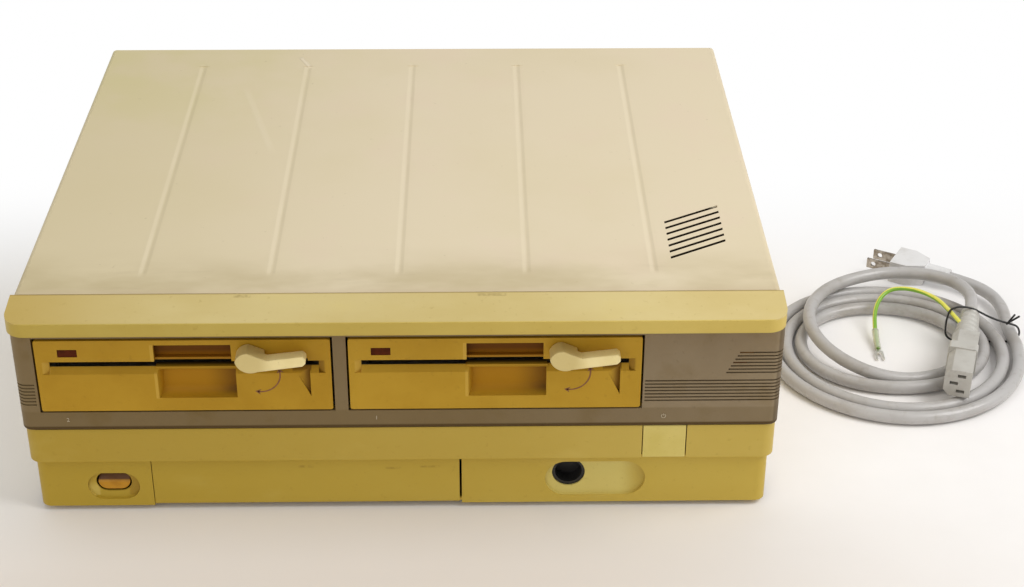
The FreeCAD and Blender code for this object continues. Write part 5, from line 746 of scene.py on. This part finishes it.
ring_and_bar = upright_mesh("power_mark", ring_faces + [bar_face], np.vstack([ring, bar]),
                            (0.1335, PRINT_Y, 0.0597))
thicken(stand("power_mark", ring_and_bar, pale_ink, "case"))


# Drive fronts.
# Ochre ABS, browned deeper than the case, with painted shade in its recesses and slot, painted highlights on
# some left rims, and a printed turning arrow.
DRIVE_MIDDLES = {1: 0.0479, 2: -0.1075}


def ochre_moulding(name, middle, pale, deep):
    """The drive front whose middle is at that X: painted shade darkens its recesses with their depth behind
    the face.
    """
    resin = Finish(name)
    across, depth, height = (resin.coordinate(axis) for axis in "XYZ")
    across = across - middle
    patch = resin.step(resin.clouds(0.03, 5), 0.35, 0.7)
    tone = resin.tint(patch * 0.6, pale, deep)
    speck = resin.step(resin.clouds(0.003, 4), 0.6, 0.74)
    tone = resin.tint(speck * 0.15, tone, linear(120, 84, 22))
    sunk = resin.step(depth, -0.1488, -0.1442)
    # Painted shade in the finger recess, darker to the right and darkest at its lower right.
    finger = resin.band(across, -0.0150, 0.0270, 0.0003) * resin.band(height, 0.0720, 0.0900, 0.0003)
    shade = resin.tint(resin.step(across, 0.008, 0.026), linear(174, 122, 16), linear(124, 80, 8))
    shade = resin.tint(resin.step(across, 0.016, 0.026) * resin.step(height, 0.0800, 0.0735) * 0.7,
                       shade, linear(84, 50, 6))
    tone = resin.tint(finger * sunk * 0.9, tone, shade)
    # Painted highlights on the left rims of the finger recess and the notch, and on the slot's left flare.
    lit = resin.band(across, -0.0150, -0.0137, 0.0003) * resin.band(height, 0.0730, 0.0890, 0.0006)
    lit = resin.band(across, -0.0160, -0.0145, 0.0003) * resin.band(height, 0.0945, 0.1042, 0.0004) + lit
    flare = resin.band(across, -0.0712, -0.0670, 0.0004) * resin.band(height, 0.0866, 0.0940, 0.0006)
    lit = flare * resin.step(depth, -0.1492, -0.1487) + lit * resin.step(depth, -0.1484, -0.1490)
    tone = resin.tint(lit * 0.45, tone, linear(216, 178, 82))
    # Painted shade on the slot's right flare.
    right_flare_shade = resin.band(across, 0.0673, 0.0710, 0.0004) * resin.band(height, 0.0866, 0.0946, 0.0006)
    tone = resin.tint(right_flare_shade * resin.step(depth, -0.1491, -0.1484) * 0.6, tone, linear(124, 86, 26))
    # Painted shade in the scoop to the right of the lever.
    scoop_shade = resin.band(across, 0.0540, 0.0632, 0.0003) * resin.band(height, 0.0730, 0.0912, 0.0003)
    tone = resin.tint(scoop_shade * resin.step(depth, -0.1490, -0.1474) * 0.8, tone, linear(112, 74, 20))
    notch = resin.band(across, -0.0148, 0.0244, 0.0002) * resin.band(height, 0.0949, 0.1046, 0.0002)
    notch_shade = resin.tint(resin.step(height, 0.0990, 0.0955), linear(104, 60, 3), linear(148, 96, 12))
    tone = resin.tint(notch * resin.step(depth, -0.1486, -0.1462), tone, notch_shade)
    # Painted shade deep in the slot.
    slot = resin.band(across, -0.0675, 0.0675, 0.0002) * resin.band(height, 0.0900, 0.0948, 0.0002)
    tone = resin.tint(slot * resin.step(depth, -0.1474, -0.1432), tone, linear(60, 42, 14))
    # Painted shade on the parts behind the face below its lower edge, in the gap there.
    low_gap_shade = resin.step(depth, -0.1480, -0.1470) * resin.step(height, 0.0660, 0.0656)
    tone = resin.tint(low_gap_shade, tone, linear(60, 42, 16))
    rough = 0.38 + 0.12 * resin.clouds(0.02) + 0.12 * sunk
    return resin.finish(tone, rough, resin.clouds(0.0006, 3), 0.00003, gloss=0.16)


ARROW_FROM = 14
ARROW_TO = -99
ARROW_POINTS = 40
ARROW_RADIUS = 0.0102
ARROW_STROKE = 0.0008
ARROW_FROM_MIDDLE = 0.0375
ARROW_Y = -0.14923
ARROW_HEIGHT = 0.0866
arrow_ink = print_ink("arrow_ink", linear(128, 80, 44), linear(146, 98, 50))
for number, pale, deep in ((1, linear(191, 151, 46), linear(178, 137, 34)),
                           (2, linear(187, 146, 41), linear(173, 131, 30))):
    middle = DRIVE_MIDDLES[number]
    resin = ochre_moulding("ochre_moulding_%d" % number, middle, pale, deep)
    rounded_copy("drive_%d_front" % number, "drive_%d_bezel" % number, "case", resin, 0.00035, joined=False)
    sweep = np.radians(np.linspace(ARROW_FROM, ARROW_TO, ARROW_POINTS))
    circle = np.column_stack([np.cos(sweep), np.sin(sweep)])
    arc = np.vstack([circle * (ARROW_RADIUS + side * ARROW_STROKE / 2) for side in (-1, 1)])
    head = np.array([(0, 0.0013), (0.0017, -0.0017), (0, -0.0008), (-0.0017, -0.0017)])
    heads = []
    for angle, facing in ((ARROW_FROM, ARROW_FROM), (ARROW_TO, ARROW_TO - 180)):
        turned = math.radians(facing)
        spin = np.array([[math.cos(turned), math.sin(turned)], [-math.sin(turned), math.cos(turned)]])
        end = np.array([math.cos(math.radians(angle)), math.sin(math.radians(angle))]) * ARROW_RADIUS
        heads.append(head @ spin + end)
    faces = ribbon_faces(ARROW_POINTS)
    for first in (len(arc), len(arc) + len(head)):
        faces.append(list(range(first, first + len(head))))
    arrow = upright_mesh("turning_arrow_%d" % number, faces, np.vstack([arc] + heads),
                         (middle + ARROW_FROM_MIDDLE, ARROW_Y, ARROW_HEIGHT))
    thicken(stand("turning_arrow_%d" % number, arrow, arrow_ink, "case"))


# Levers and buttons.
# Cream acetal levers with painted shade round their hubs; a yellower power cap; an orange-brown reset key.
def cream_moulding(name, pale, deep, shine, hub=None):
    """Cream resin with yellowed specks. Round a lever's hub, at that X, painted shade makes it darker than
    its grip.
    """
    cream = Finish(name)
    patch = cream.step(cream.clouds(0.02, 4), 0.35, 0.7)
    speck = cream.step(cream.clouds(0.0015, 4), 0.62, 0.76)
    tone = cream.tint(speck * 0.3, cream.tint(patch, pale, deep), linear(170, 136, 70))
    if hub is not None:
        reach = cream.coordinate("X") - hub
        # Painted shade round the hub.
        tone = cream.tint(cream.step(reach, 0.013, 0.004) * 0.75, tone, linear(206, 184, 118))
    return cream.finish(tone, shine + 0.12 * cream.clouds(0.01), cream.clouds(0.003, 3), 0.00004, gloss=0.35)


HUB_FROM_MIDDLE = 0.0338
for number, middle in DRIVE_MIDDLES.items():
    lever_cream = cream_moulding("lever_cream_%d" % number, linear(250, 232, 172), linear(242, 222, 156),
                                 0.3, middle + HUB_FROM_MIDDLE)
    rounded_copy("lever_arm_%d" % number, "drive_%d_lever" % number, "lever_%d" % number,
                 lever_cream, 0.0011, sharpest=20)
cap_cream = cream_moulding("power_cap_cream", linear(216, 197, 112), linear(208, 188, 98), 0.4)
rounded_copy("power_cap", "power_button", "power_button", cap_cream, 0.0004)


def reset_orange():
    """Orange on the key's front, with painted shade on the ramp that runs back from it."""
    orange = Finish("reset_orange")
    depth = orange.coordinate("Y")
    height = orange.coordinate("Z")
    # Painted shade on the ramp behind the key's front and on its upper part.
    back = orange.step(depth, -0.1428, -0.1410).over(orange.step(height, 0.0174, 0.0182))
    worn = orange.step(orange.clouds(0.004, 4), 0.4, 0.7)
    tone = orange.tint(worn, linear(192, 136, 30), linear(176, 121, 22))
    return orange.finish(orange.tint(back, tone, linear(100, 60, 18)), 0.3 + 0.2 * worn,
                         orange.clouds(0.001), 0.00003, gloss=0.3)


rounded_copy("reset_key", "reset_button", "reset_button", reset_orange(), 0.0006)


# Lamps.
# Dark red lenses, unlit, and two small lenses behind the fascia's slanted grooves.
def lens(name, near, deep):
    """A dull unlit lens whose colour varies in small patches."""
    glass = Finish(name)
    mix = glass.step(glass.clouds(0.003, 2), 0.3, 0.7)
    rough = 0.3 + 0.1 * glass.clouds(0.004)
    return glass.finish(glass.tint(mix, near, deep), rough, glass.clouds(0.002), 0.00002, gloss=0.08)


dress(lens("red_lens", linear(88, 36, 12), linear(70, 28, 8)), "drive_1_lamp", "drive_2_lamp")
dress(lens("smoked_lens", linear(92, 66, 36), linear(74, 50, 28)), "mode_lamps")


# Dark mouldings.
# Switches, sockets, the knob, carriages and chips in black resin, the speaker's cone and the rubber feet.
def moulding(name, pale, deep, dust, grain=0.00003, size=0.0006, shine=0.4):
    """A moulding that varies in patches and carries dust in fine specks."""
    resin = Finish(name)
    patch = resin.step(resin.clouds(0.03, 5), 0.35, 0.7)
    speck = resin.step(resin.clouds(0.003, 4), 0.58, 0.8)
    tone = resin.tint(speck * 0.4, resin.tint(patch, pale, deep), dust)
    return resin.finish(tone, shine + 0.15 * resin.clouds(0.02) + 0.2 * speck, resin.clouds(size, 3), grain)


dress(moulding("black_resin", linear(34, 32, 30), linear(24, 23, 22), linear(66, 62, 54)),
      "power_switch", "reset_switch", "setting_switches", "volume_knob", "keyboard_socket", "card_slots",
      "printer_socket", "display_sockets", "audio_jacks", "ac_inlet", "drive_1_carriage", "drive_2_carriage")
dress(moulding("chip_epoxy", linear(40, 39, 38), linear(30, 30, 30), linear(70, 68, 64),
               0.00002, 0.0003, 0.55), "board_chips")
dress(moulding("cone_paper", linear(38, 34, 30), linear(28, 25, 22), linear(56, 50, 42),
               0.0001, 0.0012, 0.8), "speaker")
dress(moulding("feet_rubber", linear(34, 33, 32), linear(40, 39, 38), linear(90, 86, 76),
               0.0001, 0.001, 0.7), "rubber_feet")

# Sheet steel and metal pieces.
# Zinc-plated sheet for the pan, back, cage and power supply; ground rods, turned rotors, castings.
dress(plated_steel("plated_sheet", linear(192, 192, 189), linear(182, 183, 181), 0.36),
      "base_pan", "rear_panel", "slot_covers", "drive_cage", "psu_case", "serial_socket")
dress(plated_steel("screw_zinc", linear(206, 202, 188), linear(176, 170, 152), 0.28, (1, 1, 0.3)),
      "case_screws")
dress(plated_steel("ground_steel", linear(206, 206, 206), linear(190, 190, 190), 0.16, (1, 0.1, 1)),
      "drive_1_shaft", "drive_2_shaft", "drive_1_rails", "drive_2_rails", "drive_1_screw", "drive_2_screw")
dress(plated_steel("turned_metal", linear(200, 200, 200), linear(182, 182, 184), 0.24, (1, 1, 0.2)),
      "drive_1_spindle", "drive_2_spindle", "drive_1_stepper", "drive_2_stepper",
      "drive_1_clamp_arm", "drive_2_clamp_arm")
dress(plated_steel("casting", linear(178, 178, 176), linear(158, 158, 156), 0.45, (1, 1, 1)),
      "drive_1_frame", "drive_2_frame")


# Circuit boards and ribbon cables.
# Green lacquered glass board with lighter and darker tracks and tinned pads; grey ribbons of fine ribs.
PAD_PITCH = 0.0051


def board_lacquer():
    """Tracks that run both ways, and patches of pads on a square grid."""
    lacquer = Finish("board_lacquer")
    runs = lacquer.step(lacquer.clouds(0.006, 2, (1, 0.12, 1)), 0.49, 0.51)
    crossing = lacquer.step(lacquer.clouds(0.006, 2, (0.12, 1, 1), (1, 1, 0)), 0.55, 0.57)
    tone = lacquer.tint(runs, linear(22, 84, 46), linear(34, 104, 56))
    tone = lacquer.tint(crossing * 0.7, tone, linear(18, 66, 38))
    sockets = {"Vector": lacquer.place, "Scale": 1 / PAD_PITCH, "Randomness": 0.0}
    grid = lacquer.node("ShaderNodeTexVoronoi", {"feature": "F1"}, sockets)
    pads = lacquer.step(grid, 0.22, 0.16) * lacquer.step(lacquer.clouds(0.02, 2), 0.52, 0.56)
    tone = lacquer.tint(pads, tone, linear(188, 186, 176))
    return lacquer.finish(tone, 0.24 + 0.2 * pads, runs, 0.00003, coat=0.2)


dress(board_lacquer(), "main_board", "control_board", "psu_board", "drive_1_board", "drive_2_board")


RIB_PITCH = 0.00127
ONE_A_METRE = 0.3142


def ribbon_vinyl():
    """Grey vinyl with a rib over each wire. A wave texture of scale 0.3142 has one wave a metre."""
    ribbon = Finish("ribbon_vinyl")
    sockets = {"Vector": ribbon.place, "Scale": ONE_A_METRE / RIB_PITCH, "Distortion": 0.0}
    ribs = ribbon.node("ShaderNodeTexWave", {"bands_direction": "X"}, sockets, "Fac")
    tone = ribbon.tint(ribs, linear(128, 128, 130), linear(158, 158, 160))
    age = ribbon.step(ribbon.clouds(0.02, 4), 0.45, 0.7)
    return ribbon.finish(ribbon.tint(age * 0.4, tone, linear(150, 146, 132)), 0.35 + 0.1 * age, ribs, 0.0002)


dress(ribbon_vinyl(), "ribbon_cables")
